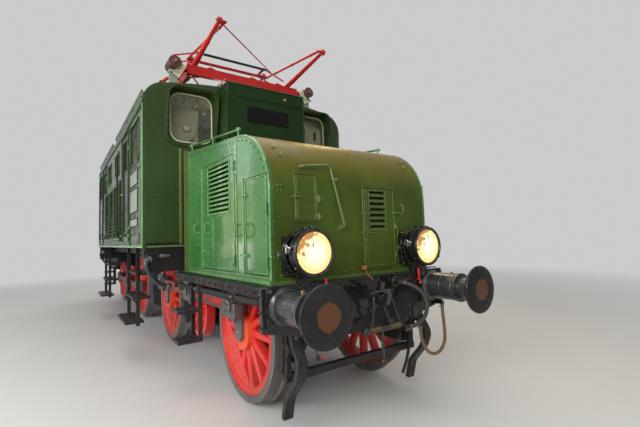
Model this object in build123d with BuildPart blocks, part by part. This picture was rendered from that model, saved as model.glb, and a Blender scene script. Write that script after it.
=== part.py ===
from build123d import *
import os
from math import atan, cos, pi, radians, sin, tan

os.makedirs("parts", exist_ok=True)

# Rod-drive electric locomotive, millimetres, X along the track and Z up.
# Z 0 is the floor under the wheel flanges, and the rail tops would be at RAIL.
RAIL = 28
OVER_BUFFERS = 11600
BUFFER_Y = 875
BUFFER_Z = RAIL + 1050

# Running gear
PIVOT_X = 2750
WHEELBASE = 3000
AXLE_Z = RAIL + 675
TREAD_R = 675
FLANGE_R = TREAD_R + RAIL
TYRE_IN_Y = 680
TYRE_OUT_Y = 820
CRANK_R = 265
PIN_R = 45
ROD_Y = 930
ROD_THICK = 56
ROD_HEAD_THICK = 80
JACKSHAFT_R = 350
PIVOT_R = 170
FRAME_Y = 600
FRAME_THICK = 25

# Superstructure
BODY_HALF = 2925
BODY_HALF_WIDTH = 1520
WALL = 40
BODY_Z = RAIL + 1520
FLOOR_TOP = BODY_Z + 60
EAVES_Z = RAIL + 3300
ROOF_TOP = RAIL + 3720

# Hoods, one on the outer end of each bogie
HOOD_FRONT = 5120
HOOD_REAR = 3030
HOOD_HALF_FRONT = 940
HOOD_HALF_REAR = 1010
HOOD_Z = RAIL + 1200
HOOD_TOP_FRONT = RAIL + 2500
HOOD_TOP_REAR = RAIL + 2710
HOOD_CURVE = 600
SHEET = 25
BEAM_FACE = 5200
BEAM_HALF = 1070
GAP = 6
# joint line between plates and castings that are riveted or pressed together
SEAM = 0.5

# Pantographs
PAN_X = 1950
PAN_SHAFT = 490
PAN_Z = RAIL + 4100
PAN_LOWER = 1145
PAN_UPPER = 1640
PAN_REST = 7.5
PAN_HALF = 765


def save(shape, name):
    shape.label = name
    export_step(shape, "parts/" + name + ".step")


def turned(shape):
    return shape.rotate(Axis.Z, 180)


def hood_half(x):
    slope = (HOOD_HALF_REAR - HOOD_HALF_FRONT) / (HOOD_FRONT - HOOD_REAR)
    return HOOD_HALF_FRONT + slope * (HOOD_FRONT - x)


# The hood's outer form: a side profile with a rounded front, cut to a plan that narrows forward.
def hood_form(profile_inset, side_inset, base):
    front = HOOD_FRONT - profile_inset
    rear = HOOD_REAR + profile_inset
    with BuildPart() as form:
        with BuildSketch(Plane.XZ):
            with BuildLine():
                Polyline(
                    (rear, base),
                    (front, base),
                    (front, HOOD_TOP_FRONT - profile_inset),
                    (rear, HOOD_TOP_REAR - profile_inset),
                    close=True,
                )
            make_face()
            corner = vertices().sort_by(Axis.X)[-2:].sort_by(Axis.Y)[-1]
            fillet(corner, HOOD_CURVE - profile_inset)
        extrude(amount=HOOD_HALF_REAR + 200, both=True)
        with BuildSketch(Plane.XY.offset(base)):
            with BuildLine():
                Polyline(
                    (rear, -hood_half(rear) + side_inset),
                    (front, -hood_half(front) + side_inset),
                    (front, hood_half(front) - side_inset),
                    (rear, hood_half(rear) - side_inset),
                    close=True,
                )
            make_face()
        extrude(amount=HOOD_TOP_REAR, mode=Mode.INTERSECT)
    return form.part


# Planes of the hood's right side and of its front, with up as their second direction
HOOD_LENGTH = HOOD_FRONT - HOOD_REAR
SIDE_TURN = atan((HOOD_HALF_REAR - HOOD_HALF_FRONT) / HOOD_LENGTH)
SIDE_FACE = Plane(
    origin=(HOOD_REAR, -HOOD_HALF_REAR, HOOD_Z),
    x_dir=(cos(SIDE_TURN), sin(SIDE_TURN), 0),
    z_dir=(sin(SIDE_TURN), -cos(SIDE_TURN), 0),
)
FRONT_FACE = Plane(origin=(HOOD_FRONT, 0, HOOD_Z), x_dir=(0, 1, 0), z_dir=(1, 0, 0))


def along(x):
    return (x - HOOD_REAR) / cos(SIDE_TURN)


# Slanted blades across a field of a sheet, from inside high up to outside low down
def blades(face, left, right, low, high, count, proud):
    pitch = (high - low) / count
    with BuildPart() as rack:
        for number in range(count):
            corner = face.from_local_coords((left, low + (number + 0.5) * pitch, 0))
            section = Plane(corner, x_dir=face.z_dir, z_dir=-face.x_dir)
            with BuildSketch(section):
                with BuildLine():
                    Polyline(
                        (1 - SHEET, 12),
                        (proud, -16),
                        (proud, -11),
                        (1 - SHEET, 17),
                        close=True,
                    )
                make_face()
            extrude(amount=left - right)
    return rack.part


def field_block(face, left, right, low, high, depth, height):
    with BuildPart() as block:
        with BuildSketch(face.offset(-depth)):
            with Locations(((left + right) / 2, (low + high) / 2)):
                Rectangle(right - left, high - low)
        extrude(amount=depth + height)
    return block.part


# One side of a pair of hinges: knuckles on the axis, each with a strap that lies on the sheet.
# spans are the knuckles' ends from the hinge's middle, and the straps reach along the face.
KNUCKLE_R = 9
KNUCKLE_OUT = 12
STRAP = 6
LEAF_KNUCKLE = ((-20, 20),)
FIXED_KNUCKLES = ((-50, -22), (22, 50))


def hinge_side(face, at, heights, spans, reach):
    with BuildPart() as half:
        for height in heights:
            for low, high in spans:
                foot = Plane(face.from_local_coords((at, height + low, KNUCKLE_OUT)))
                with BuildSketch(foot):
                    Circle(KNUCKLE_R)
                extrude(amount=high - low)
                with BuildSketch(face.offset(-2)):
                    with Locations((at + reach / 2, height + (low + high) / 2)):
                        Rectangle(abs(reach), high - low)
                extrude(amount=STRAP + 2)
    return half.part


# Hood side doors: name, rear and front edge, bottom and top above the hood's foot, hinge heights
HOOD_DOORS = (
    ("hood_door", 3562, 4445, 80, 1210, (183, 1090)),
    ("hood_front_door", 4660, 5080, 80, 920, (180, 623)),
)
# Louvre fields: from, to, bottom, top, blades
SIDE_LOUVRES = (along(3751), along(4302), 648, 1167, 11)
FRONT_LOUVRES = (138, 343, 420, 813, 7)
RAIL_POSTS = (3100, 3800, 4460)
HINGE_GAP = 3


def door_box(rear, front, low, high, grow):
    with BuildPart() as block:
        with BuildSketch(Plane.XZ.offset(HOOD_HALF_REAR - 200)):
            with Locations(((rear + front) / 2, HOOD_Z + (low + high) / 2)):
                Rectangle(front - rear + 2 * grow, high - low + 2 * grow)
        extrude(amount=260)
    return block.part


# right side sheet, before its doors are cut out
with BuildPart() as side_sheet:
    add(hood_form(0, 0, HOOD_Z))
    add(hood_form(-50, SHEET, HOOD_Z - 60), mode=Mode.SUBTRACT)
    split(bisect_by=Plane.XZ, keep=Keep.TOP)

with BuildPart() as hood_side:
    add(side_sheet.part)
    for name, rear, front, low, high, hinges in HOOD_DOORS:
        add(door_box(rear, front, low, high, GAP), mode=Mode.SUBTRACT)
        add(hinge_side(SIDE_FACE, along(front + HINGE_GAP), hinges, FIXED_KNUCKLES, 30))

# plates that stand proud of the curved front: the hatch and the louvred front door
PROUD = 8
FRONT_PLATES = (
    (-706, -473, 513, 921),
    (55, 466, 64, 838),
)
with BuildPart() as front_plates:
    add(hood_form(-PROUD, 0, HOOD_Z))
    add(hood_form(-SEAM, -100, HOOD_Z - 60), mode=Mode.SUBTRACT)
    with BuildSketch(FRONT_FACE.offset(-200)):
        for left, right, low, high in FRONT_PLATES:
            with Locations(((left + right) / 2, (low + high) / 2)):
                RectangleRounded(right - left, high - low, 20)
    extrude(amount=300, mode=Mode.INTERSECT)
    add(field_block(FRONT_FACE, *FRONT_LOUVRES[:4], 60, 60), mode=Mode.SUBTRACT)
    left, right, low, high, count = FRONT_LOUVRES
    add(blades(FRONT_FACE, left - 3, right + 3, low, high, count, PROUD))

with BuildPart() as hood:
    # front and top in one bent sheet, with the bulkhead behind
    add(hood_form(0, SHEET + SEAM, HOOD_Z))
    add(hood_form(SHEET, 0, HOOD_Z - 60), mode=Mode.SUBTRACT)
    left, right, low, high, count = FRONT_LOUVRES
    add(field_block(FRONT_FACE, left - 8, right + 8, low - 8, high + 8, 60, 20), mode=Mode.SUBTRACT)
    add(hood_side.part)
    add(hood_side.part.mirror(Plane.XZ))
    add(front_plates.part)
    # rear flange that faces the cab's end wall, in three bars
    flange_top = HOOD_TOP_REAR + 20
    with BuildSketch(Plane.YZ.offset(HOOD_REAR - 25)):
        for side in (-1, 1):
            with Locations((side * (HOOD_HALF_REAR - 30), (HOOD_Z + flange_top) / 2)):
                Rectangle(140, flange_top - HOOD_Z)
        with Locations((0, flange_top - 70)):
            Rectangle(2 * (HOOD_HALF_REAR - 100 - SEAM), 140)
    extrude(amount=25 - SEAM)
    # handrails along both top edges, on posts
    rail_fall = (HOOD_TOP_REAR - HOOD_TOP_FRONT) / HOOD_LENGTH
    for side in (-1, 1):
        for x in RAIL_POSTS:
            top = HOOD_TOP_REAR - (x - HOOD_REAR) * rail_fall
            with BuildSketch(Plane.XY.offset(top + 1.5)):
                with Locations((x, side * (hood_half(x) - 40))):
                    Circle(9)
            extrude(amount=63)
        ends = []
        for x in (RAIL_POSTS[0] - 60, RAIL_POSTS[-1] + 20):
            top = HOOD_TOP_REAR - (x - HOOD_REAR) * rail_fall
            ends.append((x, side * (hood_half(x) - 40), top + 80))
        with BuildLine() as rail_path:
            Line(*ends)
        with BuildSketch(Plane(ends[0], z_dir=rail_path.line % 0)):
            Circle(13)
        sweep(path=rail_path.line)
    # bent grab tube on the front
    with BuildLine() as grab_path:
        FilletPolyline(
            (5076, -622, 2227),
            (5112, -622, 2227),
            (5104, -312, 2263),
            (5180, -220, 1690),
            (5121, -220, 1690),
            radius=[26, 40, 28],
        )
    with BuildSketch(Plane(grab_path.line @ 0, z_dir=grab_path.line % 0)):
        Circle(13)
    sweep(path=grab_path.line)
save(hood.part, "hood_front")
save(turned(hood.part), "hood_rear")

for name, rear, front, low, high, hinges in HOOD_DOORS:
    with BuildPart() as leaf:
        add(side_sheet.part)
        add(door_box(rear, front, low, high, 0), mode=Mode.INTERSECT)
        if name == "hood_door":
            left, right, foot, head, count = SIDE_LOUVRES
            add(field_block(SIDE_FACE, left, right, foot, head, 60, 20), mode=Mode.SUBTRACT)
            add(blades(SIDE_FACE, left - 2, right + 2, foot, head, count, 5))
        add(hinge_side(SIDE_FACE, along(front + HINGE_GAP), hinges, LEAF_KNUCKLE, -60))
    right_leaf = leaf.part
    left_leaf = leaf.part.mirror(Plane.XZ)
    save(right_leaf, "front_" + name + "_right")
    save(left_leaf, "front_" + name + "_left")
    save(turned(left_leaf), "rear_" + name + "_right")
    save(turned(right_leaf), "rear_" + name + "_left")

# A round bar between two points
def tube(start, end, start_r, end_r):
    way = Vector(end) - Vector(start)
    foot = Plane(start, z_dir=way)
    with BuildPart() as length:
        with BuildSketch(foot):
            Circle(start_r)
        with BuildSketch(foot.offset(way.length)):
            Circle(end_r)
        loft()
    return length.part


def cross_tube(x, z, half, radius):
    return tube((x, -half, z), (x, half, z), radius, radius)


# A bar of one section along straight runs with rounded corners
def bent_bar(points, radii, width, height, radius=0):
    with BuildPart() as bar:
        with BuildLine() as route:
            FilletPolyline(*points, radius=radii)
        with BuildSketch(Plane(route.line @ 0, x_dir=(0, 1, 0), z_dir=route.line % 0)):
            if radius:
                Circle(radius)
            else:
                Rectangle(width, height)
        sweep(path=route.line)
    return bar.part


# Bogie frame: side plates, horn cheeks, cross members, deck and pivot, each a piece of its own
FRAME_LOW = RAIL + 480
DECK_TOP = HOOD_Z
DECK = 80
AXLES = (PIVOT_X + WHEELBASE / 2, PIVOT_X, PIVOT_X - WHEELBASE / 2)
BEARING_R = 96
DECK_REAR = 2200
DECK_FRONT = 4600
BOARD_REAR = 2850
STEP_Y = 1100
STEP_POSTS = (3520, 3780)
STEP_TREADS = (550, 862)
with BuildPart() as frame:
    for side in (-1, 1):
        plate_y = side * (FRAME_Y + FRAME_THICK / 2)
        with BuildSketch(Plane.XZ.offset(-plate_y)):
            with BuildLine():
                Polyline(
                    (520, FRAME_LOW + 120),
                    (700, FRAME_LOW),
                    (4950, FRAME_LOW),
                    (5130, FRAME_LOW + 250),
                    (5130, DECK_TOP - 5),
                    (2200, DECK_TOP - 5),
                    (520, DECK_TOP - 120),
                    close=True,
                )
            make_face()
            for x in AXLES:
                with Locations((x, AXLE_Z)):
                    Circle(BEARING_R, mode=Mode.SUBTRACT)
            for x in (1950, 3500):
                with Locations((x, AXLE_Z + 40)):
                    SlotOverall(420, 200, mode=Mode.SUBTRACT)
        extrude(amount=FRAME_THICK / 2 - SEAM, both=True)
        for x in AXLES:
            with BuildSketch(Plane.XZ.offset(-side * (FRAME_Y - 40))):
                with Locations((x, AXLE_Z)):
                    Rectangle(300, 320)
                    Circle(BEARING_R, mode=Mode.SUBTRACT)
            extrude(amount=40 - SEAM, both=True)
    # cross members: x, bottom and top above the rail, thickness
    for x, low, high, length in (
        (620, 700, 1000, 60),
        (2000, 760, 1100, 40),
        (3700, 820, 1100, 40),
        (5000, 760, 1100, 40),
    ):
        with Locations((x, 0, RAIL + (low + high) / 2)):
            Box(length, 2 * (FRAME_Y - SEAM), high - low)
    with Locations(((DECK_REAR + DECK_FRONT) / 2, 0, DECK_TOP - DECK / 2)):
        Box(DECK_FRONT - DECK_REAR, 2 * (FRAME_Y - SEAM), DECK)
    with Locations((PIVOT_X, 0, DECK_TOP + SEAM)):
        Cylinder(PIVOT_R, 150 - SEAM, align=(Align.CENTER, Align.CENTER, Align.MIN))
    # running boards beside the hood, on brackets from the side plates
    for side in (-1, 1):
        with BuildSketch(Plane.XY.offset(DECK_TOP - DECK)):
            with BuildLine():
                Polyline(
                    (BOARD_REAR, side * 905),
                    (BEAM_FACE - 40 - SEAM, side * 905),
                    (BEAM_FACE - 40 - SEAM, side * BEAM_HALF),
                    (BOARD_REAR, side * (BEAM_HALF + 60)),
                    close=True,
                )
            make_face()
        extrude(amount=DECK)
        inner = FRAME_Y + FRAME_THICK + SEAM
        for x in (2920, 3450, 5000):
            with Locations((x, side * (inner + 905 - SEAM) / 2, DECK_TOP - DECK / 2)):
                Box(80, 905 - SEAM - inner, DECK)
        # hanging steps: two posts with treads between them
        for x in STEP_POSTS:
            with Locations((x, side * STEP_Y, STEP_TREADS[0])):
                height = DECK_TOP - DECK - SEAM - STEP_TREADS[0]
                Box(14, 44, height, align=(Align.CENTER, Align.CENTER, Align.MIN))
        tread_x = sum(STEP_POSTS) / 2
        tread = STEP_POSTS[1] - STEP_POSTS[0] - 14 - 2 * SEAM
        for z in STEP_TREADS:
            with Locations((tread_x, side * (STEP_Y + 105), z)):
                Box(tread, 250, 24, align=(Align.CENTER, Align.CENTER, Align.MIN))
    # buffer beam
    with BuildSketch(Plane.YZ.offset(BEAM_FACE - 40)):
        with BuildLine():
            Polyline(
                (-BEAM_HALF, DECK_TOP),
                (-BEAM_HALF, BUFFER_Z - 190),
                (-450, BUFFER_Z - 330),
                (450, BUFFER_Z - 330),
                (BEAM_HALF, BUFFER_Z - 190),
                (BEAM_HALF, DECK_TOP),
                close=True,
            )
        make_face()
    extrude(amount=40)
save(frame.part, "bogie_frame_front")
save(turned(frame.part), "bogie_frame_rear")

# Buffers: a square base, a casing, a plunger and a plate with a flat middle and crowned rim
BUFFER_END = OVER_BUFFERS / 2
BASE_THICK = 26
CASING_END = BUFFER_END - 210
PLUNGER_END = BUFFER_END - 62
PLATE_R = 220
PLATE_FLAT_R = 110
PLATE_CROWN = 12
with BuildPart() as buffers:
    for side in (-1, 1):
        axis = Axis((0, side * BUFFER_Y, BUFFER_Z), (1, 0, 0))
        with BuildSketch(Plane.YZ.offset(BEAM_FACE + SEAM)):
            with Locations((side * BUFFER_Y, BUFFER_Z)):
                RectangleRounded(330, 330, 20)
        extrude(amount=BASE_THICK)
        with BuildSketch(Plane.XZ.offset(-side * BUFFER_Y)):
            casing_x = BEAM_FACE + BASE_THICK + 2 * SEAM
            with BuildLine():
                Polyline(
                    (casing_x, BUFFER_Z),
                    (casing_x, BUFFER_Z + 150),
                    (casing_x + 16, BUFFER_Z + 150),
                    (casing_x + 30, BUFFER_Z + 132),
                    (CASING_END - 30, BUFFER_Z + 130),
                    (CASING_END - 30, BUFFER_Z + 138),
                    (CASING_END, BUFFER_Z + 138),
                    (CASING_END, BUFFER_Z),
                    close=True,
                )
            make_face()
            with Locations(((CASING_END + PLUNGER_END) / 2, BUFFER_Z + 50)):
                Rectangle(PLUNGER_END - CASING_END - 2 * SEAM, 100)
            with BuildLine():
                Polyline(
                    (BUFFER_END, BUFFER_Z + PLATE_FLAT_R),
                    (BUFFER_END, BUFFER_Z),
                    (PLUNGER_END, BUFFER_Z),
                    (PLUNGER_END, BUFFER_Z + 112),
                    (BUFFER_END - 34, BUFFER_Z + PLATE_R - 4),
                    (BUFFER_END - PLATE_CROWN - 8, BUFFER_Z + PLATE_R),
                    (BUFFER_END - PLATE_CROWN, BUFFER_Z + PLATE_R - 3),
                )
                rim = (BUFFER_END - PLATE_CROWN, BUFFER_Z + PLATE_R - 3)
                middle = (BUFFER_END, BUFFER_Z + PLATE_FLAT_R)
                ThreePointArc(rim, (BUFFER_END - 4, BUFFER_Z + 172), middle)
            make_face()
        revolve(axis=axis)
save(buffers.part, "buffers_front")
save(turned(buffers.part), "buffers_rear")

# Headlamps, each on a box on the hood and a bracket on the beam
LAMP_Y = 680
LAMP_Z = RAIL + 1460
LAMP_FACE = 5370
LAMP_R = 192
LAMP_BACK = LAMP_FACE - 190
GLASS_R = 168
GLASS_DEPTH = 18
with BuildPart() as lamps:
    for side in (-1, 1):
        with BuildSketch(Plane.XZ.offset(-side * LAMP_Y)):
            with BuildLine():
                Polyline(
                    (LAMP_BACK, LAMP_Z),
                    (LAMP_BACK, LAMP_Z + 120),
                    (LAMP_FACE - 150, LAMP_Z + 165),
                    (LAMP_FACE - 95, LAMP_Z + LAMP_R - 8),
                    (LAMP_FACE - 26, LAMP_Z + LAMP_R - 8),
                    (LAMP_FACE - 26, LAMP_Z + LAMP_R),
                    (LAMP_FACE, LAMP_Z + LAMP_R),
                    (LAMP_FACE, LAMP_Z + GLASS_R),
                    (LAMP_FACE - GLASS_DEPTH, LAMP_Z + GLASS_R),
                    (LAMP_FACE - GLASS_DEPTH, LAMP_Z),
                    close=True,
                )
            make_face()
        revolve(axis=Axis((0, side * LAMP_Y, LAMP_Z), (1, 0, 0)))
        with BuildSketch(Plane.XY.offset(DECK_TOP + SEAM)):
            with Locations((LAMP_BACK + 2, side * LAMP_Y)):
                Rectangle(32, 120)
        extrude(amount=LAMP_Z - DECK_TOP - 60)
        # the box between the lamp and the hood's front
        with BuildSketch(Plane.YZ.offset(HOOD_FRONT + SEAM)):
            with Locations((side * LAMP_Y, LAMP_Z - 20)):
                RectangleRounded(330, 320, 16)
        extrude(amount=LAMP_BACK - 14 - 2 * SEAM - HOOD_FRONT)
save(lamps.part, "headlamps_front")
save(turned(lamps.part), "headlamps_rear")

# Draw hook, its hanging screw coupling, and the fittings that the brake hoses join
HOOK_Z = RAIL + 1050
SCREW_X = 5400
SCREW_Z = 800
LINK_R = 13
LINKS = (
    ((5392, -88, 1110), (SCREW_X, -150, SCREW_Z)),
    ((5392, -48, 1110), (SCREW_X, 96, SCREW_Z)),
    ((5392, 88, 1110), (5384, 148, 985)),
    ((5384, 148, 985), (SCREW_X, 206, SCREW_Z)),
)
COCK_END = Vector(5262, 395, 1150)
COCK_RUN = Vector(56, 75, -22)
COCK_BODY = COCK_END - COCK_RUN * 0.375
HOSE_HEAD = (5400, 310, 758)
GLAND = (5262, 985, 862)
DUMMY = (5262, 630, 700)
with BuildPart() as coupling:
    with BuildSketch(Plane.YZ.offset(BEAM_FACE + SEAM)):
        with Locations((0, HOOK_Z)):
            RectangleRounded(240, 240, 12)
    extrude(amount=20)
    with BuildSketch(Plane.XZ):
        with BuildLine():
            Polyline(
                (BEAM_FACE + 21, HOOK_Z + 40),
                (BEAM_FACE + 130, HOOK_Z + 40),
                (BEAM_FACE + 170, HOOK_Z + 110),
                (BEAM_FACE + 215, HOOK_Z + 120),
                (BEAM_FACE + 190, HOOK_Z + 30),
                (BEAM_FACE + 225, HOOK_Z - 10),
                (BEAM_FACE + 265, HOOK_Z + 50),
                (BEAM_FACE + 290, HOOK_Z + 20),
                (BEAM_FACE + 260, HOOK_Z - 70),
                (BEAM_FACE + 200, HOOK_Z - 90),
                (BEAM_FACE + 21, HOOK_Z - 40),
                close=True,
            )
        make_face()
    extrude(amount=26, both=True)
    # shackle pin through the hook, links, screw with its weighted lever
    add(tube((5392, -105, 1110), (5392, 105, 1110), 24, 24))
    for start, end in LINKS:
        add(tube(start, end, LINK_R, LINK_R))
    add(tube((SCREW_X, -205, SCREW_Z), (SCREW_X, 225, SCREW_Z), 24, 24))
    with Locations((SCREW_X, -210, SCREW_Z)):
        Sphere(34)
    add(tube((SCREW_X, -22, SCREW_Z), (SCREW_X, -22, 530), 12, 12))
    with Locations((SCREW_X, -22, 522)):
        Sphere(26)
    # cock and coupling head of the right hose
    with Locations((BEAM_FACE + SEAM, COCK_BODY.Y, COCK_BODY.Z)):
        Cylinder(34, 55, rotation=(0, 90, 0), align=(Align.CENTER, Align.CENTER, Align.MIN))
    add(tube(COCK_BODY, COCK_END, 26, 26))
    x, y, z = HOSE_HEAD
    add(tube((x, y, z), (x, y - 60, z), 27, 27))
    with Locations(((x + 15 + BEAM_FACE) / 2 + 5, y - 48, z)):
        Box(x + 15 - BEAM_FACE - 10, 24, 40)
    with Locations((BEAM_FACE + SEAM, y - 48, z + 25)):
        Box(10, 90, 100, align=(Align.MIN, Align.CENTER, Align.CENTER))
    # gland and dummy coupling of the left hose
    x, y, z = GLAND
    add(tube((x, y, z), (x, y, z + 44), 21, 21))
    with Locations((BEAM_FACE + SEAM, y, z + 24)):
        Cylinder(23, x - BEAM_FACE, rotation=(0, 90, 0), align=(Align.CENTER, Align.CENTER, Align.MIN))
    x, y, z = DUMMY
    add(tube((x, y, z), (x, y, z + 75), 23, 23))
    with Locations((BEAM_FACE + SEAM, y, z + 58)):
        Box(x - BEAM_FACE, 26, 34, align=(Align.MIN, Align.CENTER, Align.CENTER))
    with Locations((BEAM_FACE + SEAM, y, z + 105)):
        Box(10, 70, 130, align=(Align.MIN, Align.CENTER, Align.CENTER))
save(coupling.part, "coupling_front")
save(turned(coupling.part), "coupling_rear")

# Brake blocks on hangers, brake beams and rail guards
BLOCK_R = TREAD_R + 12
BLOCK_Y = 750
BRAKE_BEAM_Z = RAIL + 415
HANGER_TOP = DECK_TOP - DECK - SEAM
HANGER_FOOT = BRAKE_BEAM_Z + 30 + SEAM
GUARD = (
    (5139, BLOCK_Y, 990),
    (5139, BLOCK_Y, 760),
    (5250, BLOCK_Y, 610),
    (5190, BLOCK_Y, 470),
    (5030, BLOCK_Y, 290),
    (4980, BLOCK_Y, 105),
)
GUARD_BENDS = [120, 110, 150, 160]
with BuildPart() as brakes:
    for axle in (AXLES[0], AXLES[2]):
        hanger_x = axle + BLOCK_R + 60
        for side in (-1, 1):
            with BuildSketch(Plane.XZ.offset(-side * BLOCK_Y)):
                with Locations((axle, AXLE_Z)):
                    Circle(BLOCK_R + 62)
                    Circle(BLOCK_R, mode=Mode.SUBTRACT)
                with Locations((hanger_x, AXLE_Z - 40)):
                    Rectangle(300, 380, mode=Mode.INTERSECT)
            extrude(amount=36, both=True)
            with BuildSketch(Plane.XZ.offset(-side * BLOCK_Y)):
                with Locations((hanger_x + 8, (HANGER_TOP + HANGER_FOOT) / 2)):
                    Rectangle(54, HANGER_TOP - HANGER_FOOT)
                with Locations((hanger_x + 8, AXLE_Z - 30)):
                    Circle(62)
            extrude(amount=22, both=True)
        with Locations((hanger_x + 8, 0, BRAKE_BEAM_Z)):
            Box(60, 2 * BLOCK_Y + 60, 60)
    guard = bent_bar(GUARD, GUARD_BENDS, 90, 40)
    add(guard)
    add(guard.mirror(Plane.XZ))
save(brakes.part, "brake_gear_front")
save(turned(brakes.part), "brake_gear_rear")

# Motor in the hood, one plain block
with BuildPart() as motor:
    with Locations((4000, 0, RAIL + 1200)):
        Box(1100, 1150, 1050, align=(Align.CENTER, Align.CENTER, Align.MIN))
save(motor.part, "motor_front")
save(turned(motor.part), "motor_rear")

# Wheelsets. A wheel is drawn about Z with its crank along Y: tyre and rim, hub, spokes, a balance
# weight across the rim, and the crank web in front.
SPOKES = 14
RIM_R = 600
RIM_IN_R = 535
HUB_R = 190
HUB_FACE = 845
WEB_FACE = 880
AXLE_R = 85
WEIGHT_CHORD = 285
WEIGHT_TURN = 225
PIN_END = 985
with BuildPart() as wheel:
    with BuildSketch(Plane.XZ):
        with BuildLine():
            Polyline(
                (RIM_IN_R, TYRE_IN_Y + 12),
                (RIM_R, TYRE_IN_Y + 12),
                (RIM_R, TYRE_IN_Y),
                (FLANGE_R - 12, TYRE_IN_Y),
                (FLANGE_R, TYRE_IN_Y + 14),
                (FLANGE_R - 6, TYRE_IN_Y + 26),
                (TREAD_R, TYRE_IN_Y + 34),
                (TREAD_R - 5, TYRE_OUT_Y),
                (RIM_R, TYRE_OUT_Y),
                (RIM_R, TYRE_OUT_Y - 14),
                (RIM_IN_R, TYRE_OUT_Y - 14),
                close=True,
            )
        make_face()
    revolve(axis=Axis.Z)
    with BuildSketch(Plane.XY.offset(TYRE_IN_Y)):
        Circle(130)
    extrude(amount=HUB_FACE - TYRE_IN_Y)
    with BuildSketch(Plane.XY.offset(TYRE_OUT_Y - 40)):
        Circle(HUB_R)
    extrude(amount=HUB_FACE - TYRE_OUT_Y + 40, taper=8)
    with BuildSketch(Plane.XY.offset(TYRE_IN_Y + 22)):
        with PolarLocations(335, SPOKES):
            Polygon((-220, -20), (220, -15), (220, 15), (-220, 20))
    extrude(amount=98)
    with BuildSketch(Plane.XY.offset(TYRE_IN_Y + 30).rotated((0, 0, WEIGHT_TURN))):
        Circle(RIM_IN_R + 5)
        with Locations((WEIGHT_CHORD, 0)):
            Rectangle(400, 2 * RIM_R, align=(Align.MIN, Align.CENTER), mode=Mode.INTERSECT)
    extrude(amount=TYRE_OUT_Y - 18 - TYRE_IN_Y - 30)
    with BuildSketch(Plane.XY.offset(HUB_FACE - 10)):
        with Locations((0, CRANK_R / 2)):
            SlotOverall(CRANK_R + 190, 190, rotation=90)
    extrude(amount=WEB_FACE - HUB_FACE + 10)
    # bores for the axle and the crankpin
    with BuildSketch(Plane.XY.offset(TYRE_IN_Y - 10)):
        Circle(AXLE_R + SEAM)
        with Locations((0, CRANK_R)):
            Circle(PIN_R + SEAM)
    extrude(amount=WEB_FACE - TYRE_IN_Y + 20, mode=Mode.SUBTRACT)

with BuildPart() as crankpin:
    with BuildSketch(Plane.XY.offset(TYRE_OUT_Y - 60)):
        with Locations((0, CRANK_R)):
            Circle(PIN_R)
    extrude(amount=PIN_END - TYRE_OUT_Y + 60)


# A form drawn about Z with its crank along Y, set on an axle with its crank turned by lead
def on_axle(form, x, side, lead):
    shape = form.rotate(Axis.Z, lead).rotate(Axis.X, -90 if side > 0 else 90)
    return shape.translate((x, 0, AXLE_Z))


# Right cranks stand up at rest and left ones lie a quarter turn behind
LEADS = ((-1, 0), (1, 90))
for number, x in ((1, AXLES[0]), (2, AXLES[2])):
    with BuildPart() as wheelset:
        for side, lead in LEADS:
            add(on_axle(wheel.part, x, side, lead))
            add(on_axle(crankpin.part, x, side, lead))
        with Locations((x, 0, AXLE_Z)):
            Cylinder(AXLE_R, 2 * (WEB_FACE - 6), rotation=(90, 0, 0))
    save(wheelset.part, "wheelset_front_" + str(number))
    save(turned(wheelset.part), "wheelset_rear_" + str(number))

# Jackshaft with a ribbed crank disc at each end, driven by the motor
RIBS = 10
with BuildPart() as disc:
    with BuildSketch(Plane.XY.offset(TYRE_IN_Y + 20)):
        Circle(JACKSHAFT_R)
        Circle(JACKSHAFT_R - 52, mode=Mode.SUBTRACT)
    extrude(amount=110)
    with BuildSketch(Plane.XY.offset(TYRE_IN_Y + 50)):
        Circle(JACKSHAFT_R - 45)
    extrude(amount=34)
    with BuildSketch(Plane.XY.offset(TYRE_IN_Y + 30)):
        with PolarLocations(210, RIBS, start_angle=90):
            Rectangle(200, 26)
    extrude(amount=92)
    with BuildSketch(Plane.XY.offset(TYRE_IN_Y)):
        Circle(125)
    extrude(amount=HUB_FACE - TYRE_IN_Y)
    with BuildSketch(Plane.XY.offset(TYRE_IN_Y + 60)):
        with Locations((0, CRANK_R / 2)):
            SlotOverall(CRANK_R + 190, 190, rotation=90)
    extrude(amount=WEB_FACE - TYRE_IN_Y - 60)
    with BuildSketch(Plane.XY.offset(TYRE_IN_Y - 10)):
        Circle(AXLE_R + SEAM)
        with Locations((0, CRANK_R)):
            Circle(PIN_R + SEAM)
    extrude(amount=WEB_FACE - TYRE_IN_Y + 20, mode=Mode.SUBTRACT)

with BuildPart() as jackshaft:
    for side, lead in LEADS:
        add(on_axle(disc.part, PIVOT_X, side, lead))
        add(on_axle(crankpin.part, PIVOT_X, side, lead))
    with Locations((PIVOT_X, 0, AXLE_Z)):
        Cylinder(AXLE_R, 2 * (WEB_FACE - 6), rotation=(90, 0, 0))
save(jackshaft.part, "jackshaft_front")
save(turned(jackshaft.part), "jackshaft_rear")

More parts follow.
